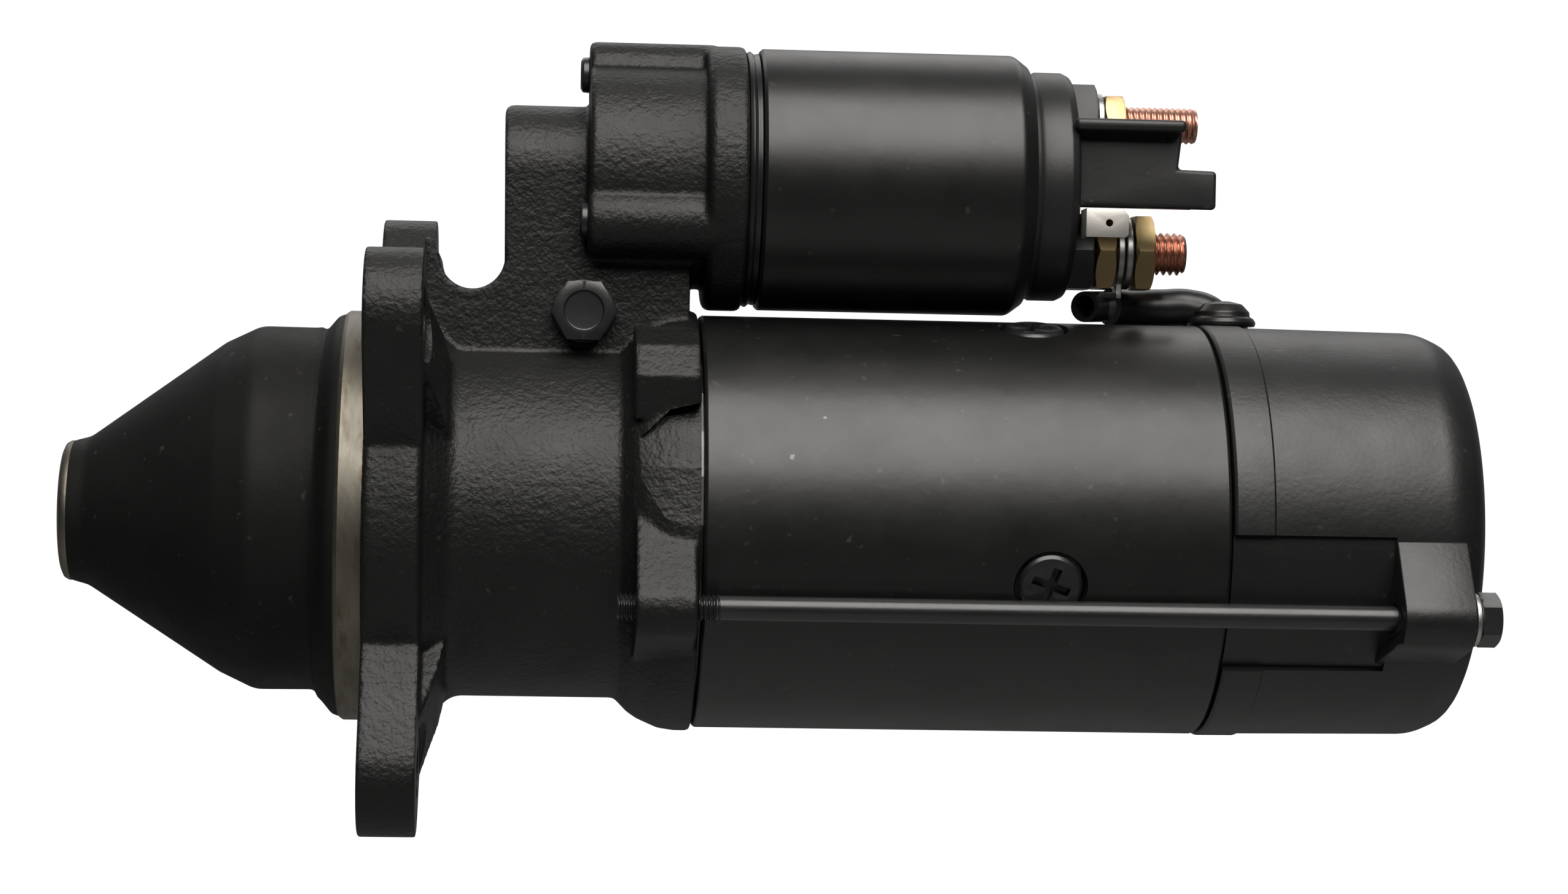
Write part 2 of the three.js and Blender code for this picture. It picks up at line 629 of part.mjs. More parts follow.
// The clamp ear on the -Y side: a flat face that leans out to a round boss about the bolt.
function clampEar() {
  const [y, z] = spot(BOLT_ANGLES[0], BOLT_CIRCLE_R);
  const shape = new THREE.Shape();
  shape.moveTo(-30, -1);
  shape.lineTo(-44.4, -1);
  shape.absarc(y, z, 6.8, rad(147), rad(255), false);
  shape.lineTo(-35.4, -26.9);
  shape.lineTo(-30, -26.9);
  return alongX(shape, EAR_FRONT_X, EAR_BACK_X, 5);
}

function rearCover() {
  const outer = turned(
    [
      [COVER_X, 0], [COVER_X, COVER_R], [COVER_X + 0.5, COVER_R + 0.4], [189.6, COVER_R + 0.4], [189.9, COVER_R - 0.1],
      [227, 44.3], [231, 43.5], [235.2, 41.6], [237.6, 38.6], [REAR_X, 34.5], [REAR_X, 0],
    ],
    FINE,
  );
  const shallow = arcBlock(RECESS_R, 60, 20.5);
  const recesses = BOLT_ANGLES.map((angle) => swung(alongX(shallow, COVER_X - 1, EAR_FRONT_X, 5), angle));
  const body = cut(solid(outer), ...recesses).add(solid(clampEar())).add(solid(clampEar().rotateX(Math.PI)));
  const inside = turned(
    [
      [COVER_X - 1, 0], [COVER_X - 1, COVER_R - COVER_WALL], [228, 40.6], [234.8, 36], [234.8, 12.5], [219, 12.5], [219, 0],
    ],
    ROUND,
  );
  const boltHoles = BOLT_ANGLES.map((angle) => {
    const [y, z] = spot(angle, BOLT_CIRCLE_R);
    return rod(EAR_FRONT_X - 1, REAR_X + 1, BOLT_R + 0.5, 16).translate(0, y, z);
  });
  return cut(
    body,
    inside,
    rod(210, 232, 9.2, 32),
    rod(20, 60, GROMMET_SLOT_R, SMALL).rotateY(-Math.PI / 2).translate(GROMMET_X, GROMMET_Y, 0),
    box(COVER_X - 1, GROMMET_X, GROMMET_Y - GROMMET_SLOT_R, GROMMET_Y + GROMMET_SLOT_R, 20, 60),
    ...boltHoles,
  );
}
place(starter, 'rear_cover', rearCover(), blackCasting);
place(starter, 'rear_bush', tube(219.5, 231.6, 8.85, 6.35, 32), bronze);

BOLT_ANGLES.forEach((angle, i) => {
  const bolt = unite(
    rod(52.6, EAR_BACK_X + 1.7, BOLT_R, 16),
    alongX(hexShape(10, i === 0), EAR_BACK_X + 1.6, EAR_BACK_X + 5.8),
  );
  const [y, z] = spot(angle, BOLT_CIRCLE_R);
  place(starter, `through_bolt_${i + 1}`, bolt, blackSteel).position.set(0, y, z);
  const washer = tube(EAR_BACK_X + 0.1, EAR_BACK_X + 1.3, 5.6, BOLT_R + GAP, SMALL);
  place(starter, `through_bolt_washer_${i + 1}`, washer, zincSteel).position.set(0, y, z);
});

// ---------------------------------------------------------------- solenoid
const solenoid = new THREE.Group();
solenoid.position.z = SOLENOID_Z;
starter.add(solenoid);

place(solenoid, 'solenoid_gasket', tube(SEAT_X + 0.1, CAN_X - 0.2, 28, 15.4, ROUND), blackRubber);
place(
  solenoid,
  'solenoid_can',
  turned([
    [CAN_X, 13.6], [CAN_X, SOLENOID_R - 0.6], [CAN_X + 0.6, SOLENOID_R], [CAN_END_X - 3.4, SOLENOID_R],
    [CAN_END_X - 1.3, 27.8], [CAN_END_X, 26.2], [CAN_END_X, CAP_R + GAP], [87, CAP_R + GAP], [87, 13.6], [CAN_X, 13.6],
  ], FINE),
  blackPaint,
);
place(solenoid, 'solenoid_coil', tube(87.6, 122, 25, 13.6, 32), copper);
place(
  solenoid,
  'solenoid_core',
  turned([[117.5, 3.4], [117.5, 13], [122.6, 13], [122.6, 25], [127, 25], [127, 3.4], [117.5, 3.4]], 32),
  steel,
);
SCREW_ANGLES.forEach((angle, i) => {
  const screw = unite(
    turned([[BLOCK_X - 2, 0], [BLOCK_X - 2, 2.6], [BLOCK_X - 1.3, 3.8], [BLOCK_X - 0.1, 3.9], [BLOCK_X - 0.1, 0]], 20),
    rod(BLOCK_X - 0.5, SEAT_X - 0.2, 3, 16),
  );
  const [y, z] = spot(angle, SCREW_CIRCLE_R);
  place(solenoid, `solenoid_screw_${i + 1}`, screw, blackSteel).position.set(0, y, z);
});

function plunger() {
  const slot = box(LEVER_TOP_X - 5, LEVER_TOP_X + 5, -5.5, 5.5, -20, 5.3);
  const shank = solid(box(32.4, 66, -8, 8, -6.6, 6.6));
  return cut(shank.add(solid(turned([[64, 0], [64, PLUNGER_R - 1], [65, PLUNGER_R], [106, PLUNGER_R], [106, 0]], 32))), slot);
}
place(solenoid, 'plunger', plunger(), zincSteel);

// A coil spring about the X axis.
function spring(x0, x1, coilR, wireR, turns) {
  const points = [];
  const steps = Math.round(turns * 8);
  for (let i = 0; i <= steps; i++) {
    const a = (2 * Math.PI * turns * i) / steps;
    points.push(new THREE.Vector3(x0 + ((x1 - x0) * i) / steps, coilR * Math.cos(a), coilR * Math.sin(a)));
  }
  const section = new THREE.Shape();
  section.absarc(0, 0, wireR, 0, 2 * Math.PI, false);
  const path = new THREE.CatmullRomCurve3(points);
  return new THREE.ExtrudeGeometry(section, { steps, extrudePath: path, curveSegments: 2, bevelEnabled: false });
}
place(solenoid, 'plunger_spring', spring(107, 116.4, 8.5, 0.8, 3.5), steel);

const CONTACT_STROKE = 3;
const contactFront = 106 + PLUNGER_STROKE - CONTACT_STROKE + 0.4;
const contact = unite(rod(contactFront, 131.5, 2.6), rod(131, 134.3, 15.5, 32), rod(134, 137.6, 3.2));
place(solenoid, 'contact_disc', contact, copper);

function terminalCap() {
  const body = turned([
    [127.6, 20], [127.6, 24.6], [134, CAP_R], [149, CAP_R], [CAP_END_X - 0.9, 24.4], [CAP_END_X, 22.5], [CAP_END_X, 0],
    [145.5, 0], [145.5, 20], [127.6, 20],
  ]);
  const post = (z, x1, flats) => alongX(hexShape(flats, false), CAP_END_X - 1, x1).translate(0, 0, z);
  const barrier = alongY(
    polygon([[CAP_END_X - 1, -5.4], [181.3, -5.4], [181.3, 3], [172.8, 3], [173.7, 11.5], [CAP_END_X - 1, 11.5]]),
    -19,
    -16.2,
  );
  const shelf = box(CAP_END_X - 1, 173.7, -24.4, -8.5, 10.6, 13.4);
  const rail = box(CAP_END_X - 1, 177.5, -18.6, -11, -5.4, -3);
  return cut(
    unite(body, post(STUD_OFFSET, 157, 16.6), post(-STUD_OFFSET, 156.7, 16.6), barrier, shelf, rail),
    rod(140, 160, 4 + GAP).translate(0, 0, STUD_OFFSET),
    rod(140, 160, 4.7 + GAP).translate(0, 0, -STUD_OFFSET),
  );
}
place(solenoid, 'terminal_cap', terminalCap(), blackPlastic);

// A contact stud with a flat square head inside the cap.
function stud(r, endX) {
  return unite(
    turned([[140, 0], [140, r], [endX - 1, r], [endX, r - 0.9], [endX, 0]], SMALL),
    box(137.8, 141.5, -5.5, 5.5, -4.5, 4.5),
  );
}
function nut(x0, x1, flats, r, cornerUp) {
  const chamfer = turned([[x0, 0], [x0, flats / 2], [x0 + 1.2, flats * 0.6], [x1 - 1.2, flats * 0.6], [x1, flats / 2], [x1, 0]], SMALL);
  return cut(solid(alongX(hexShape(flats, cornerUp), x0, x1)).intersect(solid(chamfer)), rod(x0 - 1, x1 + 1, r + GAP));
}
const batteryParts = new THREE.Group();
batteryParts.position.z = STUD_OFFSET;
const motorParts = new THREE.Group();
motorParts.position.z = -STUD_OFFSET;
solenoid.add(batteryParts, motorParts);
place(batteryParts, 'battery_stud', stud(3.95, 179.8), copper);
place(batteryParts, 'battery_washer', tube(157.3, 158.7, 6.6, 3.95 + GAP, SMALL), zincSteel);
place(batteryParts, 'battery_nut', nut(159, 163.4, 12, 3.95, false), brass);
place(motorParts, 'motor_stud', stud(4.65, 177.8), copper);
place(motorParts, 'motor_nut_inner', nut(157.2, 161.6, 16, 4.65, false), brass);
place(motorParts, 'motor_washer', tube(163.9, 165.5, 8, 4.65 + GAP, SMALL), zincSteel);
place(motorParts, 'motor_nut_outer', nut(165.8, 170.2, 16, 4.65, false), brass);

const spade = unite(
  box(151.7, 160.9, -26.6, -25.8, -12.4, -6.2),
  box(151.7, 152.5, -26.6, -19, -12.4, -6.2),
);
place(solenoid, 'spade_terminal', spade, tinPlate);

// ---------------------------------------------------------------- field lead, lug and grommet
const LEAD_R = 4.2;
const leadPath = new THREE.CatmullRomCurve3(
  [
    [162.4, 5.4, 49.2], [168, 8.6, 49.2], [175, 10, 49.4], [181, 9.6, 49.5], [185.6, 8.2, 47.9], [187.6, 7, 44.6],
    [187.8, 6.5, 40.2],
  ].map(([x, y, z]) => new THREE.Vector3(x, y, z)),
);
const GROMMET_AXIS = [187.8, 6.5];
const GROMMET_R = 6;

function swept(path, r, steps, around) {
  const section = new THREE.Shape();
  section.absarc(0, 0, r, 0, 2 * Math.PI, false);
  return new THREE.ExtrudeGeometry(section, { steps, extrudePath: path, curveSegments: around, bevelEnabled: false });
}

place(starter, 'field_lead', swept(leadPath, LEAD_R, 14, 6), blackRubber);

function grommet() {
  const body = turned(
    [
      [40.6, 0], [40.6, GROMMET_R], [45.5, GROMMET_R], [45.5, 7.4], [47.2, 7.6], [48.1, 6.9], [49.3, 6.2], [50.6, 3.4],
      [51, 0],
    ],
    SMALL,
  );
  const upright = body.rotateY(-Math.PI / 2).translate(GROMMET_AXIS[0], GROMMET_AXIS[1], 0);
  const leadRoom = new THREE.LineCurve3(new THREE.Vector3(187.8, 6.5, 45), new THREE.Vector3(187.8, 6.5, 38));
  const bodyRoom = rod(BODY_X, COVER_X - 0.4 + GAP, BODY_R + GAP, FINE);
  return cut(solid(upright), swept(leadPath, LEAD_R + GAP, 14, 6), swept(leadRoom, LEAD_R + GAP, 1, 6), bodyRoom);
}
place(starter, 'lead_grommet', grommet(), blackRubber);

function leadLug() {
  const from = new THREE.Vector3(155.2, -4.5, 48.7);
  const to = new THREE.Vector3(160.4, 2.4, 49.1);
  const ring = tube(162.1, 163.5, 7.8, 4.65 + GAP, SMALL).translate(0, 0, SOLENOID_Z - STUD_OFFSET);
  const lugged = unite(
    swept(new THREE.LineCurve3(from, to), 3.4, 1, 7),
    ring,
    box(162.1, 163.5, -3.5, 0.9, 50.6, 55.5),
    box(158.4, 163.5, -3.5, 0.9, 50.6, 52.2),
  );
  return cut(lugged, swept(new THREE.LineCurve3(from.clone().lerp(to, -0.2), from.clone().lerp(to, 0.75)), 2.5, 1, 6));
}
place(starter, 'lead_lug', leadLug(), zincSteel);

export default starter;
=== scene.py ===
import math

import bmesh
import bpy
from mathutils import Matrix, Vector


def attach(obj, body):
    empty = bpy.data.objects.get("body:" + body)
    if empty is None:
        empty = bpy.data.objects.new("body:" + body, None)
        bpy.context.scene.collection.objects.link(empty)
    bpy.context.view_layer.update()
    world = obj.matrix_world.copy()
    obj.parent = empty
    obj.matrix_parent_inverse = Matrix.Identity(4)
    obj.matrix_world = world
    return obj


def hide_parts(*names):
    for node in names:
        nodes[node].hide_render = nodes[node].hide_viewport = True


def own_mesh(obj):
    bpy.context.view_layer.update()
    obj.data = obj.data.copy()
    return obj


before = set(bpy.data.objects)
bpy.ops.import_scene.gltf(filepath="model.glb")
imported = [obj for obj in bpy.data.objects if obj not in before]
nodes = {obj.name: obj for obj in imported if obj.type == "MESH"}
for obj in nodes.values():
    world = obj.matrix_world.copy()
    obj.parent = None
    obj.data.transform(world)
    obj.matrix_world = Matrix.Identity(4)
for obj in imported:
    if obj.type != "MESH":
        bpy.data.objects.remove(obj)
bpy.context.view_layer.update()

MM = 0.001
TAU = 2 * math.pi
QUARTER = math.pi / 2
SAME = 1e-7  # metres, closer vertices are merged
SHARP = 32  # degrees, edges that turn more are sharp
AXIS = (0.0, 0.0)  # y, z of the shaft's axis, mm
SOLENOID = (0.0, 75.1)  # y, z of the solenoid's axis, mm


# ------------------------------------------------------------------ mesh helpers (all in mm)
def spot(angle, r):
    """y, z at an angle about the X axis, from -Y towards +Z."""
    a = math.radians(angle)
    return -r * math.cos(a), r * math.sin(a)


def linked(name, data):
    obj = bpy.data.objects.new(name, data)
    bpy.context.collection.objects.link(obj)
    return obj


def welded(mesh):
    """Merges double vertices and turns every face outwards."""
    bm = bmesh.new()
    bm.from_mesh(mesh)
    bmesh.ops.remove_doubles(bm, verts=bm.verts, dist=SAME)
    bmesh.ops.recalc_face_normals(bm, faces=bm.faces)
    bm.to_mesh(mesh)
    bm.free()


def make(name, verts, faces):
    mesh = bpy.data.meshes.new(name)
    mesh.from_pydata([Vector(v) * MM for v in verts], [], faces)
    obj = linked(name, mesh)
    welded(mesh)
    return obj


def rounded(points, steps=5):
    """A polyline whose points may carry a third number, the radius that their corner is rounded to."""
    out = []
    for i, p in enumerate(points):
        if len(p) < 3 or i in (0, len(points) - 1):
            out.append(Vector(p[:2]))
            continue
        here = Vector(p[:2])
        before = Vector(points[i - 1][:2]) - here
        after = Vector(points[i + 1][:2]) - here
        angle = before.angle(after)
        reach = min(p[2] / math.tan(angle / 2), before.length * 0.49, after.length * 0.49)
        radius = reach * math.tan(angle / 2)
        a = here + before.normalized() * reach
        c = here + (before.normalized() + after.normalized()).normalized() * (radius / math.sin(angle / 2))
        start = a - c
        end = here + after.normalized() * reach - c
        sweep = start.angle_signed(end)
        for k in range(steps + 1):
            t = -sweep * k / steps
            turn = Matrix(((math.cos(t), -math.sin(t)), (math.sin(t), math.cos(t))))
            out.append(c + turn @ start)
    return out


def lathe(name, points, centre=AXIS, segments=160, steps=5):
    """Turns (x, r) or (x, r, corner radius) points about a line along X."""
    profile = rounded(points, steps)
    verts, faces, rings = [], [], []
    for x, r in profile:
        if r < 1e-6:
            rings.append([len(verts)])
            verts.append((x, centre[0], centre[1]))
            continue
        rings.append(list(range(len(verts), len(verts) + segments)))
        for k in range(segments):
            a = TAU * k / segments
            verts.append((x, centre[0] + r * math.cos(a), centre[1] + r * math.sin(a)))
    for a, b in zip(rings, rings[1:]):
        for k in range(segments):
            n = (k + 1) % segments
            if len(a) == 1 and len(b) == 1:
                continue
            if len(a) == 1:
                faces.append((a[0], b[n], b[k]))
            elif len(b) == 1:
                faces.append((a[k], a[n], b[0]))
            else:
                faces.append((a[k], a[n], b[n], b[k]))
    if len(rings[0]) > 1 and (profile[0] - profile[-1]).length > 1e-6:
        faces.append(rings[0])
        faces.append(rings[-1])
    return make(name, verts, faces)


def prism(name, outline, low, high, axis="x"):
    """Extrudes an outline: y, z points along X, x, z points along Y, or x, y points along Z."""
    def at(p, h):
        return {"x": (h, p[0], p[1]), "y": (p[0], h, p[1]), "z": (p[0], p[1], h)}[axis]
    n = len(outline)
    verts = [at(p, low) for p in outline] + [at(p, high) for p in outline]
    faces = [tuple(range(n)), tuple(range(n, 2 * n))]
    faces += [(i, (i + 1) % n, n + (i + 1) % n, n + i) for i in range(n)]
    return make(name, verts, faces)


def block(name, low, high):
    """A box from its lowest and highest corners."""
    outline = [(low[1], low[2]), (high[1], low[2]), (high[1], high[2]), (low[1], high[2])]
    return prism(name, outline, low[0], high[0])


def arc(centre, r, start, end, steps=16):
    """Points on an arc, angles in degrees from the first axis."""
    out = []
    for k in range(steps + 1):
        a = math.radians(start + (end - start) * k / steps)
        out.append((centre[0] + r * math.cos(a), centre[1] + r * math.sin(a)))
    return out


def hexagon(centre, flats, turn=0.0):
    """Corners of a hexagon that measures flats across its flats."""
    r = flats / math.sqrt(3)
    return [(centre[0] + r * math.cos(math.radians(60 * i + turn)),
             centre[1] + r * math.sin(math.radians(60 * i + turn))) for i in range(6)]


def settle(obj):
    """Applies an object's modifiers."""
    graph = bpy.context.evaluated_depsgraph_get()
    mesh = bpy.data.meshes.new_from_object(obj.evaluated_get(graph))
    old = obj.data
    obj.modifiers.clear()
    obj.data = mesh
    mesh.name = obj.name
    bpy.data.meshes.remove(old)
    return obj


def combine(obj, how, tools):
    for tool in tools:
        mod = obj.modifiers.new("join", "BOOLEAN")
        mod.operation = how
        mod.solver = "EXACT"
        mod.object = tool
        settle(obj)
        bpy.data.objects.remove(tool)
    return obj


def join(obj, *tools):
    return combine(obj, "UNION", tools)


def cut(obj, *tools):
    return combine(obj, "DIFFERENCE", tools)


def meet(obj, *tools):
    return combine(obj, "INTERSECT", tools)


def heap(name, *parts):
    """Puts overlapping closed meshes into one object, for a voxel remesh to fuse."""
    bm = bmesh.new()
    for part in parts:
        bm.from_mesh(part.data)
        bpy.data.objects.remove(part)
    mesh = bpy.data.meshes.new(name)
    bm.to_mesh(mesh)
    bm.free()
    return linked(name, mesh)


def cast(obj, voxel, rounds):
    """Fuses and softens a shape the way a casting's corners are soft."""
    mod = obj.modifiers.new("remesh", "REMESH")
    mod.mode = "VOXEL"
    mod.voxel_size = voxel * MM
    mod = obj.modifiers.new("soften", "SMOOTH")
    mod.factor = 0.5
    mod.iterations = rounds
    return settle(obj)


def bevelled(obj, width, angle, segments):
    """Adds a bevel to the edges that turn more than angle."""
    mod = obj.modifiers.new("bevel", "BEVEL")
    mod.width = width * MM
    mod.segments = segments
    mod.limit_method = "ANGLE"
    mod.angle_limit = math.radians(angle)
    return obj


def soften(obj, width, angle=30, segments=3):
    return settle(bevelled(obj, width, angle, segments))


def shade(obj, angle):
    """Smooth shading, with sharp edges where faces turn more than angle."""
    mesh = obj.data
    mesh.polygons.foreach_set("use_smooth", [True] * len(mesh.polygons))
    mesh.set_sharp_from_angle(angle=math.radians(angle))
    mesh.update()


def paint(obj, mat):
    obj.data.materials.clear()
    obj.data.materials.append(mat)


def finish(obj, mat, stands_for=(), angle=SHARP):
    """Gives a fixed piece its look, its body and the CAD nodes that it stands for."""
    paint(obj, mat)
    shade(obj, angle)
    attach(obj, "frame")
    if stands_for:
        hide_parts(*stands_for)
    return obj


def second_look(obj, mat, chosen):
    """Gives a second material to the faces whose centres are chosen."""
    obj.data.materials.append(mat)
    for face in obj.data.polygons:
        if chosen(face.center):
            face.material_index = 1


def put(obj, place, angle, axis):
    """Turns a mesh made about the origin, then moves it to its place in mm."""
    obj.data.transform(Matrix.Translation(Vector(place) * MM) @ Matrix.Rotation(angle, 4, axis))
    return obj


def turned_about_axis(obj, degrees):
    """Turns a mesh about the shaft's axis, from -Y towards +Z."""
    obj.data.transform(Matrix.Rotation(-math.radians(degrees), 4, "X"))
    return obj


def threaded(name, r, pitch, x0, x1, centre, depth, segments=56):
    """A screw thread along X with chamfered ends."""
    per_turn = 10
    count = int((x1 - x0) / pitch * per_turn)
    verts, faces = [], []
    for i in range(count + 1):
        x = x0 + (x1 - x0) * i / count
        ends = min(1.0, (x - x0) / pitch + 0.25, (x1 - x) / pitch + 0.25)
        for k in range(segments):
            a = TAU * k / segments
            phase = ((x - x0) / pitch - k / segments) % 1.0
            wave = abs(phase * 2 - 1)
            groove = min(1.0, max(0.0, (wave - 0.12) / 0.76))
            deep = r - depth * groove
            radius = min(deep, r - depth * (1 - ends) * 1.1)
            verts.append((x, centre[0] + radius * math.cos(a), centre[1] + radius * math.sin(a)))
    for i in range(count):
        for k in range(segments):
            n = (k + 1) % segments
            a, b = i * segments, (i + 1) * segments
            faces.append((a + k, a + n, b + n, b + k))
    faces.append(tuple(range(segments)))
    faces.append(tuple(range(count * segments, (count + 1) * segments)))
    return make(name, verts, faces)


def hex_body(name, x0, x1, flats, centre, turn, bore=0.0, front=True, back=True):
    """A hexagon along X with its corners chamfered at one or both ends."""
    body = prism(name, hexagon(centre, flats, turn), x0, x1)
    big, small = flats * 0.62, flats * 0.5
    rise = (big - small) * 0.5
    profile = [(x0, 0), (x0, small if front else big), (x0 + (rise if front else 0.01), big),
               (x1 - (rise if back else 0.01), big), (x1, small if back else big), (x1, 0)]
    meet(body, lathe("tool", profile, centre, 72))
    if bore:
        edge = bore + 0.8
        cut(body, lathe("tool", [(x0 - 0.5, 0), (x0 - 0.5, edge), (x0 + 0.8, bore), (x1 - 0.8, bore),
                                 (x1 + 0.5, edge), (x1 + 0.5, 0)], centre, 48))
    return soften(body, 0.15, 25, 2)


def tube_along(name, points, r, segments, resolution):
    """A round tube with closed ends along a smooth curve through the points."""
    curve = bpy.data.curves.new(name, "CURVE")
    curve.dimensions = "3D"
    spline = curve.splines.new("BEZIER")
    spline.bezier_points.add(len(points) - 1)
    for handle, p in zip(spline.bezier_points, points):
        handle.co = Vector(p) * MM
        handle.handle_left_type = handle.handle_right_type = "AUTO"
    spline.resolution_u = resolution
    curve.bevel_depth = r * MM
    curve.bevel_resolution = segments // 4
    curve.use_fill_caps = True
    obj = linked(name, curve)
    graph = bpy.context.evaluated_depsgraph_get()
    mesh = bpy.data.meshes.new_from_object(obj.evaluated_get(graph))
    bpy.data.objects.remove(obj)
    tube = linked(name, mesh)
    welded(mesh)
    return tube


# ------------------------------------------------------------------ materials
DUST_COLOUR = (0.3, 0.29, 0.27)
BARE_COLOUR = (0.2, 0.19, 0.17)


def material(name, colour, roughness, metallic=0.0, *, vary, specular=0.5, coat=0.0, patch=22, stretch=None,
             dust=None, stain=None, scratches=(), bumps=()):
    """A Principled material with noise in its colour, roughness and surface.

    vary: how far the colour and roughness wander, in patches of patch mm; stretch: scale of the noise along X, Y
    and Z; dust: strength of pale specks; stain: a second colour in blotches; scratches: x, y, z and radius in mm of
    bare spots; bumps: size in mm, depth in mm and detail of each layer of unevenness.
    """
    mat = bpy.data.materials.new(name)
    mat.use_nodes = True
    tree = mat.node_tree
    tree.nodes.clear()
    out = tree.nodes.new("ShaderNodeOutputMaterial")
    bsdf = tree.nodes.new("ShaderNodeBsdfPrincipled")
    tree.links.new(bsdf.outputs[0], out.inputs[0])
    bsdf.inputs["Metallic"].default_value = metallic
    bsdf.inputs["Specular IOR Level"].default_value = specular
    if coat:
        bsdf.inputs["Coat Weight"].default_value = coat
        bsdf.inputs["Coat Roughness"].default_value = 0.2
    place = tree.nodes.new("ShaderNodeTexCoord")
    where = place.outputs["Object"]
    if stretch:
        mapping = tree.nodes.new("ShaderNodeMapping")
        mapping.inputs["Scale"].default_value = stretch
        tree.links.new(where, mapping.inputs[0])
        where = mapping.outputs[0]

    def noise(size_mm, detail, rough=0.55):
        node = tree.nodes.new("ShaderNodeTexNoise")
        node.inputs["Scale"].default_value = 1 / (size_mm * MM)
        node.inputs["Detail"].default_value = detail
        node.inputs["Roughness"].default_value = rough
        tree.links.new(where, node.inputs["Vector"])
        return node.outputs["Fac"]

    def spread(value, low, high, start=0.3, end=0.7):
        node = tree.nodes.new("ShaderNodeMapRange")
        node.inputs["From Min"].default_value = start
        node.inputs["From Max"].default_value = end
        node.inputs["To Min"].default_value = low
        node.inputs["To Max"].default_value = high
        tree.links.new(value, node.inputs["Value"])
        return node.outputs[0]

    def blend_colour(fac, a, b):
        node = tree.nodes.new("ShaderNodeMix")
        node.data_type = "RGBA"
        tree.links.new(fac, node.inputs[0])
        for socket, value in ((node.inputs[6], a), (node.inputs[7], b)):
            if isinstance(value, bpy.types.NodeSocket):
                tree.links.new(value, socket)
            else:
                socket.default_value = (*value, 1)
        return node.outputs[2]

    dark = tuple(c * (1 - vary) for c in colour)
    light = tuple(min(1, c * (1 + vary)) for c in colour)
    tone = blend_colour(spread(noise(patch, 4, 0.6), 0, 1), dark, light)
    if dust:
        tone = blend_colour(spread(noise(2.2, 2, 0.4), 0, dust, 0.7, 0.78), tone, DUST_COLOUR)
    if stain:
        tone = blend_colour(spread(noise(9, 5, 0.65), 0, 0.75, 0.52, 0.68), tone, stain)
    for x, y, z, radius in scratches:
        apart = tree.nodes.new("ShaderNodeVectorMath")
        apart.operation = "DISTANCE"
        apart.inputs[1].default_value = (x * MM, y * MM, z * MM)
        tree.links.new(place.outputs["Object"], apart.inputs[0])
        ragged = tree.nodes.new("ShaderNodeMath")
        ragged.operation = "MULTIPLY_ADD"
        tree.links.new(noise(1.6, 5, 0.7), ragged.inputs[0])
        ragged.inputs[1].default_value = 2.6 * radius * MM
        tree.links.new(apart.outputs["Value"], ragged.inputs[2])
        bare = spread(ragged.outputs[0], 1, 0, 1.55 * radius * MM, 1.85 * radius * MM)
        tone = blend_colour(bare, tone, BARE_COLOUR)
    tree.links.new(tone, bsdf.inputs["Base Color"])
    gloss = spread(noise(patch * 0.6, 5, 0.6), roughness * (1 - vary * 0.5), roughness * (1 + vary * 0.5))
    tree.links.new(gloss, bsdf.inputs["Roughness"])
    normal = None
    for size, depth, detail in bumps:
        bump = tree.nodes.new("ShaderNodeBump")
        bump.inputs["Strength"].default_value = 1.0
        bump.inputs["Distance"].default_value = depth * MM
        tree.links.new(noise(size, detail), bump.inputs["Height"])
        if normal:
            tree.links.new(normal, bump.inputs["Normal"])
        normal = bump.outputs[0]
    if normal:
        tree.links.new(normal, bsdf.inputs["Normal"])
    return mat


BLACK = (0.0062, 0.0062, 0.0061)
cast_black = material("cast_black", BLACK, 0.47, vary=0.2, dust=0.06, specular=0.32,
                      bumps=((6, 0.09, 1), (1.6, 0.25, 2), (0.8, 0.055, 1)))
nose_black = material("nose_black", BLACK, 0.6, vary=0.2, dust=0.08, specular=0.15,
                      bumps=((5, 0.06, 1), (1.2, 0.045, 2)))
paint_black = material("paint_black", BLACK, 0.37, vary=0.2, dust=0.08, bumps=((9, 0.08, 2), (1.1, 0.014, 2)),
                       scratches=((88.4, -42.6, 14.7, 1.1), (95.6, -38.8, 22.9, 0.6)))
can_black = material("can_black", BLACK, 0.37, vary=0.2, dust=0.06, bumps=((9, 0.06, 2), (1.1, 0.012, 2)))
cover_black = material("cover_black", (0.0068, 0.0069, 0.007), 0.4, vary=0.2, dust=0.06,
                       bumps=((8, 0.08, 1), (1.1, 0.05, 2)))
steel_black = material("steel_black", (0.012, 0.012, 0.0125), 0.34, vary=0.25, coat=0.2, bumps=((1.6, 0.03, 2),))
machined = material("machined_iron", (0.17, 0.157, 0.13), 0.46, 1.0, vary=0.2, stain=(0.11, 0.085, 0.055), patch=14,
                    stretch=(3.5, 1, 1), bumps=((1.2, 0.02, 2),))
zinc = material("zinc", (0.4, 0.4, 0.39), 0.38, 1.0, vary=0.12, bumps=((0.8, 0.012, 2),))
tin = material("tin", (0.5, 0.48, 0.45), 0.5, 0.9, vary=0.08, bumps=((0.7, 0.015, 2),))
copper = material("copper", (0.75, 0.42, 0.32), 0.36, 1.0, vary=0.15, patch=6, bumps=((0.8, 0.012, 2),))
winding = material("winding", (0.42, 0.13, 0.05), 0.35, 0.6, vary=0.2, patch=5, stretch=(1, 3, 3),
                   bumps=((1.1, 0.2, 1),))
brass = material("brass", (0.38, 0.285, 0.145), 0.36, 1.0, vary=0.1, patch=8, bumps=((0.7, 0.012, 2),))
bronze = material("bronze", (0.42, 0.27, 0.12), 0.5, 0.9, vary=0.2, bumps=((0.8, 0.02, 2),))
plastic = material("plastic", (0.009, 0.009, 0.0092), 0.42, vary=0.15, dust=0.1, bumps=((1.0, 0.02, 2),))
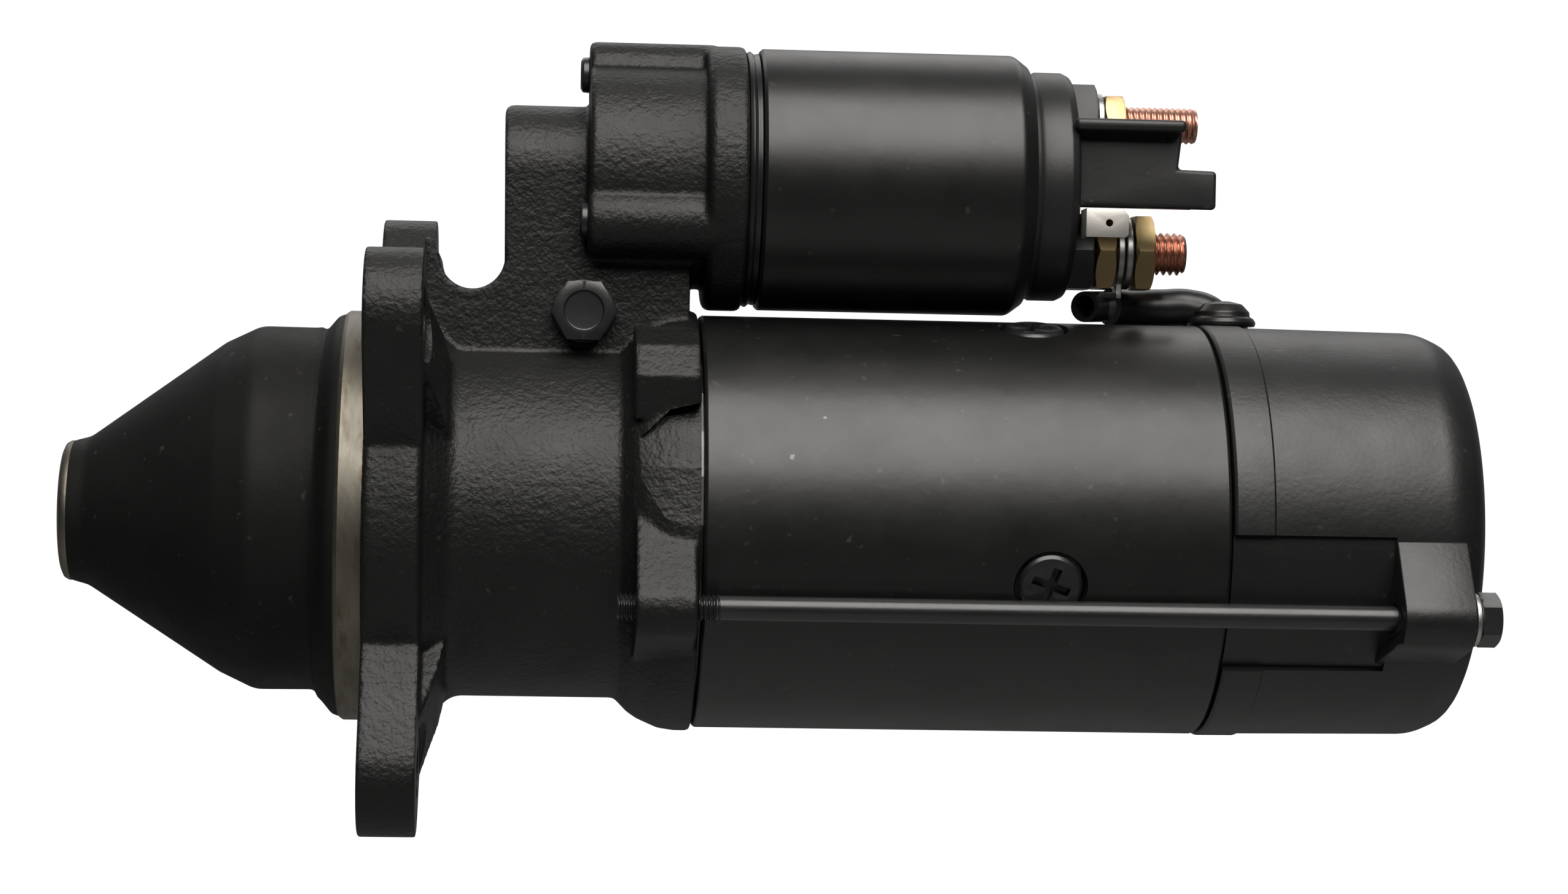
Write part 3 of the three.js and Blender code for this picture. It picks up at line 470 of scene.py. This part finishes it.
rubber = material("rubber", (0.007, 0.007, 0.0072), 0.34, vary=0.15, bumps=((7, 0.1, 2), (1.0, 0.008, 2)))
carbon = material("carbon", (0.05, 0.045, 0.042), 0.6, 0.2, vary=0.2, bumps=((0.6, 0.03, 2),))
bright = material("bright_steel", (0.5, 0.5, 0.49), 0.3, 1.0, vary=0.12, stretch=(3, 1, 1), bumps=((0.8, 0.01, 2),))
inside_steel = material("inside_steel", (0.3, 0.29, 0.28), 0.42, 1.0, vary=0.2, bumps=((1.0, 0.02, 2),))

# ------------------------------------------------------------------ carried-over CAD nodes
INSIDE = {
    "nose_bush": bronze, "rear_bush": bronze, "shift_lever": inside_steel, "centre_bearing_plate": inside_steel,
    "ring_gear": inside_steel, "output_shaft": bright, "pinion": bright, "clutch_shell": bright,
    "pinion_stop_ring": steel_black, "armature_shaft": inside_steel, "armature_core": inside_steel,
    "armature_windings": winding, "commutator": copper, "field_coil_set": winding, "brush_plate": zinc,
    "solenoid_coil": winding, "solenoid_core": inside_steel, "plunger": zinc, "contact_disc": copper,
}
for i in range(1, 5):
    INSIDE[f"pole_shoe_{i}"] = inside_steel
    INSIDE[f"brush_{i}"] = carbon
for i in range(1, 4):
    INSIDE[f"planet_gear_{i}"] = inside_steel
for name, mat in INSIDE.items():
    paint(nodes[name], mat)
    bevelled(nodes[name], 0.25, SHARP, 2)

# The plunger's spring stays on the core, with the frame; nothing here shortens it as the plunger comes in.
spring = linked("return_spring", nodes["plunger_spring"].data.copy())
finish(spring, bright, stands_for=["plunger_spring"])
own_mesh(spring)

# ------------------------------------------------------------------ drive-end housing
FLANGE_T = 12.3
FLANGE_R = 43.9
NECK_R = 38.9
EAR_ANGLES = (-53.3, 40.8, 124.9)
EAR_CIRCLE = 65  # radius that the ear holes sit on
BOLT_ANGLES = (-19.8, 160.2)
BOLT_CIRCLE = 49.5
SCREW_SPOTS = [spot(a, 22) for a in (90, -30, 210)]
NOSE_RISE = 1.3
GUSSET_HALF = 10.7
LEVER_HALF = 15.0
LEVER_TOP = 90.2
LEVER_FRONT = 27.6


def ear_outline(distance, boss, root, angle, steps=20):
    """A round boss on an arm that narrows from a round root on the shaft axis."""
    lean = math.degrees(math.acos((root - boss) / distance))
    points = arc((-distance, 0), boss, 180 - lean, 180 + lean, steps)
    points += arc((0, 0), root, 180 + lean, 540 - lean, 2 * steps)
    c, s = math.cos(math.radians(angle)), math.sin(math.radians(angle))
    return [(y * c + z * s, -y * s + z * c) for y, z in points]


def nose():
    shell = lathe("nose", [
        (-65.2, 0), (-65.2, 14.6, 0.6), (-63.2, 15.3, 2), (-60.2, 16.1, 3), (-31.5, 35.8, 3), (-24, 39.4, 6),
        (-10.6, 39.3, 3.5), (-7.4, 43.2), (-5.4, FLANGE_R), (3, FLANGE_R), (3, 0)], segments=200)
    for v in shell.data.vertices:
        x = v.co.x / MM
        if x < -10.5:
            v.co.z += NOSE_RISE * MM * min(1, max(0, (x + 60) / 30))
    return shell


def neck():
    return lathe("neck", [
        (1, 0), (1, FLANGE_R), (FLANGE_T, FLANGE_R), (13.2, 43.6), (18.4, NECK_R, 5), (53.4, NECK_R, 1.5),
        (56.2, 41.8, 1.5), (58.4, 43.3, 3), (63, 45.3, 4), (66.5, 45.8), (69.9, 45.8, 0.5), (69.9, 0)],
        segments=200)


def lever_housing():
    """A block whose top follows the solenoid, with a rounded bay between it and the flange."""
    side = [(11, 28), (68, 28), (68, LEVER_TOP)] + arc((LEVER_FRONT + 2.4, LEVER_TOP - 2.4), 2.4, 90, 180, 6)
    side += arc((LEVER_FRONT - 6.4, 56.3), 7.0, 0, -180, 18)[1:] + [(12.5, 60), (11, 60)]
    shape = prism("lever", side, -LEVER_HALF, LEVER_HALF, "y")
    section = [(-LEVER_HALF, 20), (LEVER_HALF, 20)] + arc(SOLENOID, LEVER_HALF, 0, 180, 36)
    return meet(shape, prism("tool", section, 0, 80))


def seat():
    """What the solenoid is screwed to: a drum, its rim and three screw bosses."""
    parts = [
        lathe("seat", [(45.9, 0), (45.9, 24.3, 1), (73, 24.3), (73, 0)], SOLENOID),
        lathe("seat", [(71.0, 0), (71.0, 27.8, 0.8), (72, 28.9, 1), (78.9, 28.9, 0.8), (79.6, 28.2), (79.6, 0)],
              SOLENOID),
    ]
    for y, z in SCREW_SPOTS:
        parts.append(lathe("boss", [(45.7, 0), (45.7, 7.3, 1.2), (73, 7.3), (73, 0)], (y, SOLENOID[1] + z), 64))
    return parts


def flange():
    parts = [prism("plate", ear_outline(EAR_CIRCLE, 13.4, 27, a), 0.2, FLANGE_T) for a in EAR_ANGLES]
    for a in EAR_ANGLES:
        gusset = prism("gusset", [(11, 34), (18.3, 34), (16.0, 47), (FLANGE_T, 60), (11, 60)],
                       -GUSSET_HALF, GUSSET_HALF, "y")
        parts.append(turned_about_axis(gusset, a - 90))
    parts.append(lathe("plate", [(0.2, 0), (0.2, 48.4, 1.2), (FLANGE_T, 48.4, 1.5), (FLANGE_T, 0)]))
    return parts


def lugs():
    """Two arms that the through bolts screw into, and the shoulder above the near one."""
    parts = [prism("lug", ear_outline(BOLT_CIRCLE, 6.7, 37, a), 56.6, 69.2) for a in BOLT_ANGLES]
    shoulder = [(-18, 22), (-18, 41.9), (-30, 40.8), (-36, 37.6), (-40.5, 31), (-38, 22)]
    parts.append(prism("lug", shoulder, 55.8, 69.4))
    return parts


VOXEL, QUICK_VOXEL = 0.55, 0.75
housing = heap("housing_casting", nose(), neck(), lever_housing(), *seat(), *flange(), *lugs())
cast(housing, VOXEL, 4)
ear_spots = [spot(a, EAR_CIRCLE) for a in EAR_ANGLES]
ear_holes = [lathe("tool", [(-2, 0), (-2, 5.5), (20, 5.5), (20, 0)], at, 64) for at in ear_spots]
cavity = lathe("tool", [
    (-50.5, 0), (-50.5, 16.5), (-26, 33.3, 2), (59, 33.3), (59, 39.3), (75, 39.3), (75, 0)], segments=96)
# The pocket by the near bolt: a slanted floor, seen from the side as an arrow that opens to the yoke.
pocket = meet(
    prism("tool", [(-54, 27), (-33.5, 27), (-36.5, 22), (-41, 12), (-43.2, 0), (-54, -4)], 54, 71),
    prism("tool", [(54.8, 15.7), (63.3, 24), (71, 25.8), (71, -1.5), (62.5, 1.5), (57.8, 9)], -60, -30, "y"))
window = block("tool", (-51, 12, -25), (-12, 60, 25))
plunger_room = lathe("tool", [(31.5, 0), (31.5, 11), (45.8, 11), (45.8, 15), (84, 15), (84, 0)], SOLENOID, 64)
lever_room = block("tool", (31.5, -10, 20), (58, 10, 75.1))
spot_faces = [lathe("tool", [(12.35, 0), (12.35, 9.7), (13.2, 10.3), (20, 10.3), (20, 0)], at, 64)
              for at in ear_spots]
cut(housing, cavity, pocket, window, plunger_room, lever_room, *ear_holes, *spot_faces)
finish(housing, cast_black, stands_for=["drive_end_housing"], angle=40)
second_look(housing, nose_black, lambda at: at.x < -5.5 * MM)

SPIGOT_R = 44.45  # half of 88.9, which sets the whole model's scale
ring = lathe("spigot_ring", [
    (-6.9, 42.4), (-5.6, 44.0, 0.5), (-4.9, SPIGOT_R, 0.3), (0.6, SPIGOT_R), (0.6, 40), (-6.9, 40), (-6.9, 42.4)],
    segments=220)
finish(ring, machined)
tip = lathe("nose_tip", [
    (-65.75, 0), (-65.75, 13.6, 0.3), (-65.3, 14.6, 0.3), (-64.4, 15.1), (-63.8, 15.1), (-63.8, 0)], segments=120)
finish(tip, machined)

# ------------------------------------------------------------------ motor body
POLE_X = 143.0
POLE_ANGLES = [-14.7 + 90 * i for i in range(4)]
YOKE_R = 45.05
yoke = lathe("yoke", [
    (70.5, 39.6), (70.5, 44.6, 0.4), (71.2, YOKE_R, 0.5), (180.2, YOKE_R, 0.6), (180.8, 44.5, 0.3), (180.8, 39.6),
    (70.5, 39.6)], segments=256)


def pole_screw(name):
    """A screw with a cross slot, its head towards -Y."""
    head = lathe(name, [
        (-45.1, 0), (-45.1, 6.0, 0.5), (-44.3, 6.95, 0.5), (-40.5, 4.2), (-33, 4), (-33, 0)], segments=64)
    for turn in (0, 90):
        slot = block("tool", (-46, -0.9, -4.1), (-42.4, 0.9, 4.1))
        slot.data.transform(Matrix.Rotation(math.radians(turn + 20), 4, "X"))
        cut(head, slot)
    soften(head, 0.18, 30, 2)
    return put(head, (POLE_X, 0, 0), QUARTER, "Z")


for i, angle in enumerate(POLE_ANGLES, 1):
    dimple = lathe("tool", [(-50, 0), (-50, 11.5), (-46.2, 8.4), (-44.0, 7.3), (-38, 7.3), (-38, 0)], segments=64)
    put(dimple, (POLE_X, 0, 0), QUARTER, "Z")
    cut(yoke, turned_about_axis(dimple, angle))
    screw = turned_about_axis(pole_screw(f"pole_screw_fine_{i}"), angle)
    finish(screw, steel_black, stands_for=[f"pole_screw_{i}"])
finish(yoke, paint_black, stands_for=["yoke_tube"], angle=28)

# ------------------------------------------------------------------ rear cover
EAR_FRONT, EAR_BACK = 215.8, 231.0
RECESS_R = 43.7
RECESS_HALF = 20.0  # degrees
GROMMET = (187.8, 6.5, 0)


def rear_cover():
    """The cup with a flat recess and a clamping ear for each through bolt, and a notch for the lead."""
    shell = lathe("rear_cover_fine", [
        (181.3, 40.0), (181.3, 44.9, 0.4), (182, 45.35, 0.5), (189.7, 45.3, 0.25), (190.1, 44.9), (229, 44.5, 12),
        (235.8, 41.4, 6), (237.2, 33, 8), (237.2, 0), (234.2, 0), (234.2, 36, 4), (228, 40.4, 2), (190, 40.4),
        (181.3, 40.0)], segments=256)
    near = BOLT_ANGLES[0]
    y, z = spot(near, BOLT_CIRCLE)
    for angle in BOLT_ANGLES:
        low, high = 180 - RECESS_HALF, 180 + RECESS_HALF
        flat = arc((0, 0), RECESS_R, low, high, 24) + arc((0, 0), 52, high, low, 24)
        cut(shell, turned_about_axis(prism("tool", flat, 180, EAR_FRONT), angle))
        ear = [(-30, -0.6), (-44.5, -0.6)] + arc((y, z), 6.8, 147, 255, 16) + [(-35.4, -26.9), (-30, -26.9)]
        lug = soften(prism("lug", ear, EAR_FRONT, EAR_BACK), 0.45, 20, 3)
        for v in lug.data.vertices:
            if v.co.x < (EAR_FRONT + 3) * MM and v.co.z < -22 * MM:
                v.co.x -= (-10 * MM - v.co.z) * 0.11
        hole = lathe("tool", [(EAR_FRONT - 3, 0), (EAR_FRONT - 3, 3.1), (EAR_BACK + 3, 3.1), (EAR_BACK + 3, 0)],
                     (y, z), 40)
        if angle != near:
            turned_about_axis(lug, 180)
            turned_about_axis(hole, 180)
        join(shell, lug)
        cut(shell, hole)
    notch = lathe("tool", [(20, 0), (20, 6.3), (60, 6.3), (60, 0)], segments=48)
    return cut(shell, put(notch, GROMMET, -QUARTER, "Y"))


finish(rear_cover(), cover_black, stands_for=["rear_cover"], angle=28)

for i, angle in enumerate(BOLT_ANGLES, 1):
    y, z = spot(angle, BOLT_CIRCLE)
    shank = lathe("bolt", [(73, 0), (73, 2.6, 0.3), (233, 2.6), (233, 0)], (y, z), 48)
    head = hex_body("head", EAR_BACK + 1.7, EAR_BACK + 5.8, 10, (y, z), 30, front=False)
    collar = lathe("collar", [
        (EAR_BACK + 1.4, 0), (EAR_BACK + 1.4, 5.2, 0.3), (EAR_BACK + 2.2, 5.0), (EAR_BACK + 2.2, 0)], (y, z), 48)
    screw_end = threaded("thread", 2.85, 1.0, 52.7, 74.5, (y, z), 0.55, 40)
    bolt = heap(f"through_bolt_fine_{i}", shank, head, collar, screw_end)
    finish(bolt, steel_black, stands_for=[f"through_bolt_{i}"])
    washer = lathe(f"through_washer_fine_{i}", [
        (EAR_BACK + 0.25, 3.1), (EAR_BACK + 0.25, 5.7, 0.25), (EAR_BACK + 1.35, 5.6, 0.25), (EAR_BACK + 1.35, 3.1),
        (EAR_BACK + 0.25, 3.1)], (y, z), 64)
    finish(washer, zinc, stands_for=[f"through_bolt_washer_{i}"])

# ------------------------------------------------------------------ lever pivot bolt
PIVOT = (45.2, 0, 44.9)
pivot = hex_body("pivot_bolt_fine", -20.2, -15.9, 12.4, AXIS, 0, back=False)
washer_face = lathe("face", [(-16.3, 0), (-16.3, 6.8, 0.3), (-15.3, 6.9), (-15.3, 0)], segments=64)
stem = lathe("stem", [(-16.5, 0), (-16.5, 4), (14.4, 4, 0.6), (14.4, 0)], segments=48)
dish = lathe("tool", [(-21, 0), (-21, 4.6), (-19.7, 4.2, 0.4), (-19.7, 0)], segments=64)
cut(pivot, dish)
pivot = heap("pivot_bolt_fine", pivot, washer_face, stem)
put(pivot, PIVOT, QUARTER, "Z")
finish(pivot, steel_black, stands_for=["lever_pivot_bolt"])

# ------------------------------------------------------------------ solenoid
gasket = lathe("gasket_fine", [
    (79.7, 15.4), (79.7, 27.6, 0.3), (80.6, 28.0, 0.3), (81.4, 27.3, 0.3), (82.5, 27.6, 0.3), (82.5, 15.4),
    (79.7, 15.4)], SOLENOID)
finish(gasket, rubber, stands_for=["solenoid_gasket"])
CAN_R = 28.6
can = lathe("can_fine", [
    (82.7, 13.6), (82.7, 28.0, 0.5), (83.4, CAN_R, 0.5), (138.2, CAN_R, 2.5), (141.4, 26.2, 0.8), (141.4, 25.4),
    (87, 25.4), (87, 13.6), (82.7, 13.6)], SOLENOID, 220, 7)
finish(can, can_black, stands_for=["solenoid_can"], angle=28)

for i, (y, z) in enumerate(SCREW_SPOTS, 1):
    centre = (y, SOLENOID[1] + z)
    head = lathe("head", [(43.8, 0), (43.8, 3.0, 0.5), (44.3, 3.8, 0.5), (45.7, 3.9, 0.2), (45.7, 0)], centre, 48)
    cut(head, prism("tool", hexagon(centre, 4), 41.5, 45.0))
    stem = lathe("stem", [(45.3, 0), (45.3, 3), (79.3, 3), (79.3, 0)], centre, 32)
    screw = heap(f"solenoid_screw_fine_{i}", head, stem)
    finish(screw, steel_black, stands_for=[f"solenoid_screw_{i}"])

# ------------------------------------------------------------------ terminals
STUD_RISE = 14.2  # from the solenoid's axis up to one stud and down to the other
UPPER = (0, SOLENOID[1] + STUD_RISE)
LOWER = (0, SOLENOID[1] - STUD_RISE)
CAP_R = 25.1


def terminal_cap():
    """The moulded cap: two hexagonal posts, a web, a shelf and a rail on a shallow cup."""
    cap = lathe("terminal_cap_fine", [
        (127.6, 20), (127.6, 24.6), (134, CAP_R), (141.9, CAP_R), (142.6, 24.7), (143.3, CAP_R), (149.0, CAP_R, 1.2),
        (150.6, 24.3, 1.0), (151.3, 21.5, 0.4), (151.3, 0), (145.5, 0), (145.5, 20), (127.6, 20)], SOLENOID, 160)
    parts = [
        hex_body("post", 149.5, 157.0, 16.4, UPPER, 0, front=False),
        hex_body("post", 149.5, 156.7, 16.4, LOWER, 0, front=False),
    ]
    z = SOLENOID[1]
    web = [(150, z - 5.4), (181.2, z - 5.4), (181.2, z + 2.9), (172.8, z + 3.1), (173.6, z + 10.4), (173.6, z + 13.3),
           (150, z + 13.3)]
    parts.append(soften(prism("web", web, -19, -16.3, "y"), 0.9, 30, 4))
    parts.append(soften(block("shelf", (149.5, -24.3, z + 10.7), (173.6, -8.6, z + 13.3)), 1.1, 30, 5))
    parts.append(soften(block("rail", (149.5, -17.5, z - 5.1), (177.4, -11, z - 3)), 0.7))
    join(cap, *parts)
    for centre, r in ((UPPER, 4.35), (LOWER, 5.0)):
        cut(cap, lathe("tool", [(140, 0), (140, r), (160, r), (160, 0)], centre, 48))
    return cap


def stud(name, r, pitch, depth, end, centre):
    """A copper stud with a square head inside the cap."""
    y, z = centre
    thread = threaded("thread", r, pitch, 149, end, centre, depth)
    core = lathe("core", [(140, 0), (140, r - pitch * 0.6), (151, r - pitch * 0.6), (151, 0)], centre, 48)
    head = soften(block("head", (137.9, y - 5.4, z - 4.4), (141.4, y + 5.4, z + 4.4)), 0.5)
    finish(heap(f"{name}_fine", thread, core, head), copper, stands_for=[name])


def washer_on(name, x0, x1, bore, r, edge, centre):
    ring = lathe(f"{name}_fine", [(x0, bore), (x0, r, edge), (x1, r, edge), (x1, bore), (x0, bore)], centre, 64)
    finish(ring, zinc, stands_for=[name])


def nut_on(name, x0, x1, flats, bore, centre):
    finish(hex_body(f"{name}_fine", x0, x1, flats, centre, 0, bore), brass, stands_for=[name])


finish(terminal_cap(), plastic, stands_for=["terminal_cap"])
stud("battery_stud", 3.95, 1.3, 0.42, 179.8, UPPER)
stud("motor_stud", 4.7, 1.5, 0.9, 177.8, LOWER)
washer_on("battery_washer", 157.3, 158.7, 4.3, 6.6, 0.3, UPPER)
nut_on("battery_nut", 159, 163.4, 11.9, 4.05, UPPER)
nut_on("motor_nut_inner", 157.2, 161.6, 16, 4.8, LOWER)
nut_on("motor_nut_outer", 165.9, 170.2, 16, 4.8, LOWER)
washer_on("motor_washer", 163.9, 165.5, 5, 8.0, 0.4, LOWER)

SPADE_Z = SOLENOID[1] - 12.4  # lower edge of the spade terminal
SPADE_TALL = 6.2
outline = [(151.7, 0), (160.3, 0), (160.9, 0.6), (160.9, 4.7), (159.6, SPADE_TALL), (151.7, SPADE_TALL)]
blade = prism("spade_fine", [(x, SPADE_Z + h) for x, h in outline], -26.6, -25.8, "y")
soften(blade, 0.15, 30, 2)
hole = lathe("tool", [(-30, 0), (-30, 0.8), (-20, 0.8), (-20, 0)], segments=32)
cut(blade, put(hole, (156.7, 0, SPADE_Z + SPADE_TALL / 2), QUARTER, "Z"))
foot = soften(block("foot", (151.7, -25.9, SPADE_Z), (152.5, -19, SPADE_Z + SPADE_TALL)), 0.15, 30, 2)
finish(heap("spade_fine", blade, foot), tin, stands_for=["spade_terminal"])

# ------------------------------------------------------------------ field lead
LEAD = [(162.4, 5.4, 49.2), (168, 8.6, 49.2), (175, 10, 49.4), (181, 9.6, 49.5), (185.6, 8.2, 47.9), (187.6, 7, 44.6),
        (187.8, 6.5, 40.2)]
finish(tube_along("field_lead_fine", LEAD, 4.2, 40, 14), rubber, stands_for=["field_lead"])
boot = lathe("grommet_fine", [
    (40.6, 0), (40.6, 6), (45.4, 6), (45.4, 7.5, 0.4), (46.3, 7.7, 0.5), (47.1, 7.2, 0.3), (47.6, 6.4, 0.3),
    (48.6, 6.3, 0.6), (50.4, 4.6, 1.2), (51, 2), (51, 0)], segments=72)
put(boot, GROMMET, -QUARTER, "Y")
cut(boot, lathe("tool", [(60, 0), (60, 45.4), (181.1, 45.4), (181.1, 0)], segments=128))
finish(boot, rubber, stands_for=["lead_grommet"], angle=50)


def lug():
    """The lead's lug: an open barrel, a ring on the lower stud, and a stepped tab between them."""
    a, b = Vector((155.2, -4.5, 48.7)), Vector((160.4, 2.4, 49.1))
    barrel = tube_along("lug_fine", [a, a.lerp(b, 0.5), b], 3.4, 40, 4)
    join(barrel,
         lathe("ring", [(162.2, 5), (162.2, 7.8, 0.2), (163.5, 7.8, 0.2), (163.5, 5), (162.2, 5)], LOWER, 64),
         soften(block("tab", (162.2, -3.5, 50.7), (163.5, 0.9, 55.5)), 0.2),
         soften(block("arm", (158.4, -3.5, 50.7), (163.5, 0.9, 52.1)), 0.2))
    return cut(barrel, tube_along("tool", [a.lerp(b, -0.3), a.lerp(b, 0.2), a.lerp(b, 0.75)], 2.5, 32, 4))


lead_lug = finish(lug(), zinc, stands_for=["lead_lug"])
second_look(lead_lug, rubber, lambda at: at.x < 161.2 * MM and at.z < 52.2 * MM)

# ------------------------------------------------------------------ floor, light and camera
FLOOR_HALF = 4200
FLOOR_TOP = -900
FLOOR_GREY = (0.5, 0.5, 0.5, 1)
floor_mat = bpy.data.materials.new("floor")
floor_mat.use_nodes = True
floor_look = floor_mat.node_tree.nodes["Principled BSDF"].inputs
floor_look["Base Color"].default_value = FLOOR_GREY
floor_look["Roughness"].default_value = 0.9
floor = block("floor", (-FLOOR_HALF, -FLOOR_HALF, FLOOR_TOP - 2), (FLOOR_HALF, FLOOR_HALF, FLOOR_TOP))
paint(floor, floor_mat)


def softbox(name, place, target, size, power, colour):
    light = bpy.data.lights.new(name, "AREA")
    light.shape = "RECTANGLE"
    light.size, light.size_y = size
    light.energy = power
    light.color = colour
    obj = linked(name, light)
    obj.location = place
    obj.rotation_euler = (Vector(target) - Vector(place)).to_track_quat("-Z", "Y").to_euler()
    return obj


CENTRE = (0.09, 0, 0.02)
softbox("key", (0.17, -0.80, 0.97), CENTRE, (1.25, 1.15), 29, (1.0, 0.975, 0.94))
softbox("top", (0.1, 0.85, 0.95), CENTRE, (1.4, 0.8), 4.5, (1.0, 0.98, 0.96))


def studio_world(low, high, strength_seen):
    """A soft studio: light grows from low behind the camera to high behind the part, and the camera sees white."""
    world = bpy.data.worlds.new("studio")
    world.use_nodes = True
    tree = world.node_tree
    tree.nodes.clear()
    new, link = tree.nodes.new, tree.links.new
    seen, felt = new("ShaderNodeBackground"), new("ShaderNodeBackground")
    seen.inputs["Color"].default_value = (1, 1, 1, 1)
    seen.inputs["Strength"].default_value = strength_seen
    felt.inputs["Strength"].default_value = 1.0
    way, split, shift = new("ShaderNodeTexCoord"), new("ShaderNodeSeparateXYZ"), new("ShaderNodeMapRange")
    shift.inputs["From Min"].default_value = -1
    shift.inputs["From Max"].default_value = 1
    ramp = new("ShaderNodeValToRGB")
    for stop, (position, colour) in zip(ramp.color_ramp.elements, (low, high)):
        stop.position = position
        stop.color = colour
    ray, mix, out = new("ShaderNodeLightPath"), new("ShaderNodeMixShader"), new("ShaderNodeOutputWorld")
    link(way.outputs["Generated"], split.inputs[0])
    link(split.outputs["Y"], shift.inputs["Value"])
    link(shift.outputs[0], ramp.inputs[0])
    link(ramp.outputs[0], felt.inputs["Color"])
    link(ray.outputs["Is Camera Ray"], mix.inputs[0])
    link(felt.outputs[0], mix.inputs[1])
    link(seen.outputs[0], mix.inputs[2])
    link(mix.outputs[0], out.inputs[0])
    return world


scene = bpy.context.scene
scene.world = studio_world((0.42, (0.012, 0.0125, 0.0135, 1)), (0.95, (0.26, 0.26, 0.265, 1)), 1.05)
scene.view_settings.view_transform = "Standard"
scene.view_settings.look = "None"
scene.view_settings.exposure = 0.0

CAMERA_AT = (0.03482, -0.75341, 0.01735)
YAW, PITCH, ROLL = 0.0730, -0.0010, 0.0193
SENSOR_WIDTH, FOCAL_LENGTH = 36, 78.94
forward = Vector((math.sin(YAW) * math.cos(PITCH), math.cos(YAW) * math.cos(PITCH), math.sin(PITCH)))
right = Vector((math.cos(YAW), -math.sin(YAW), 0))
up = right.cross(forward)
right, up = right * math.cos(ROLL) + up * math.sin(ROLL), up * math.cos(ROLL) - right * math.sin(ROLL)
lens = bpy.data.cameras.new("camera")
lens.sensor_width = SENSOR_WIDTH
lens.lens = FOCAL_LENGTH
lens.clip_start = 0.01
camera = linked("camera", lens)
camera.matrix_world = Matrix.Translation(CAMERA_AT) @ Matrix((right, up, -forward)).transposed().to_4x4()
scene.camera = camera
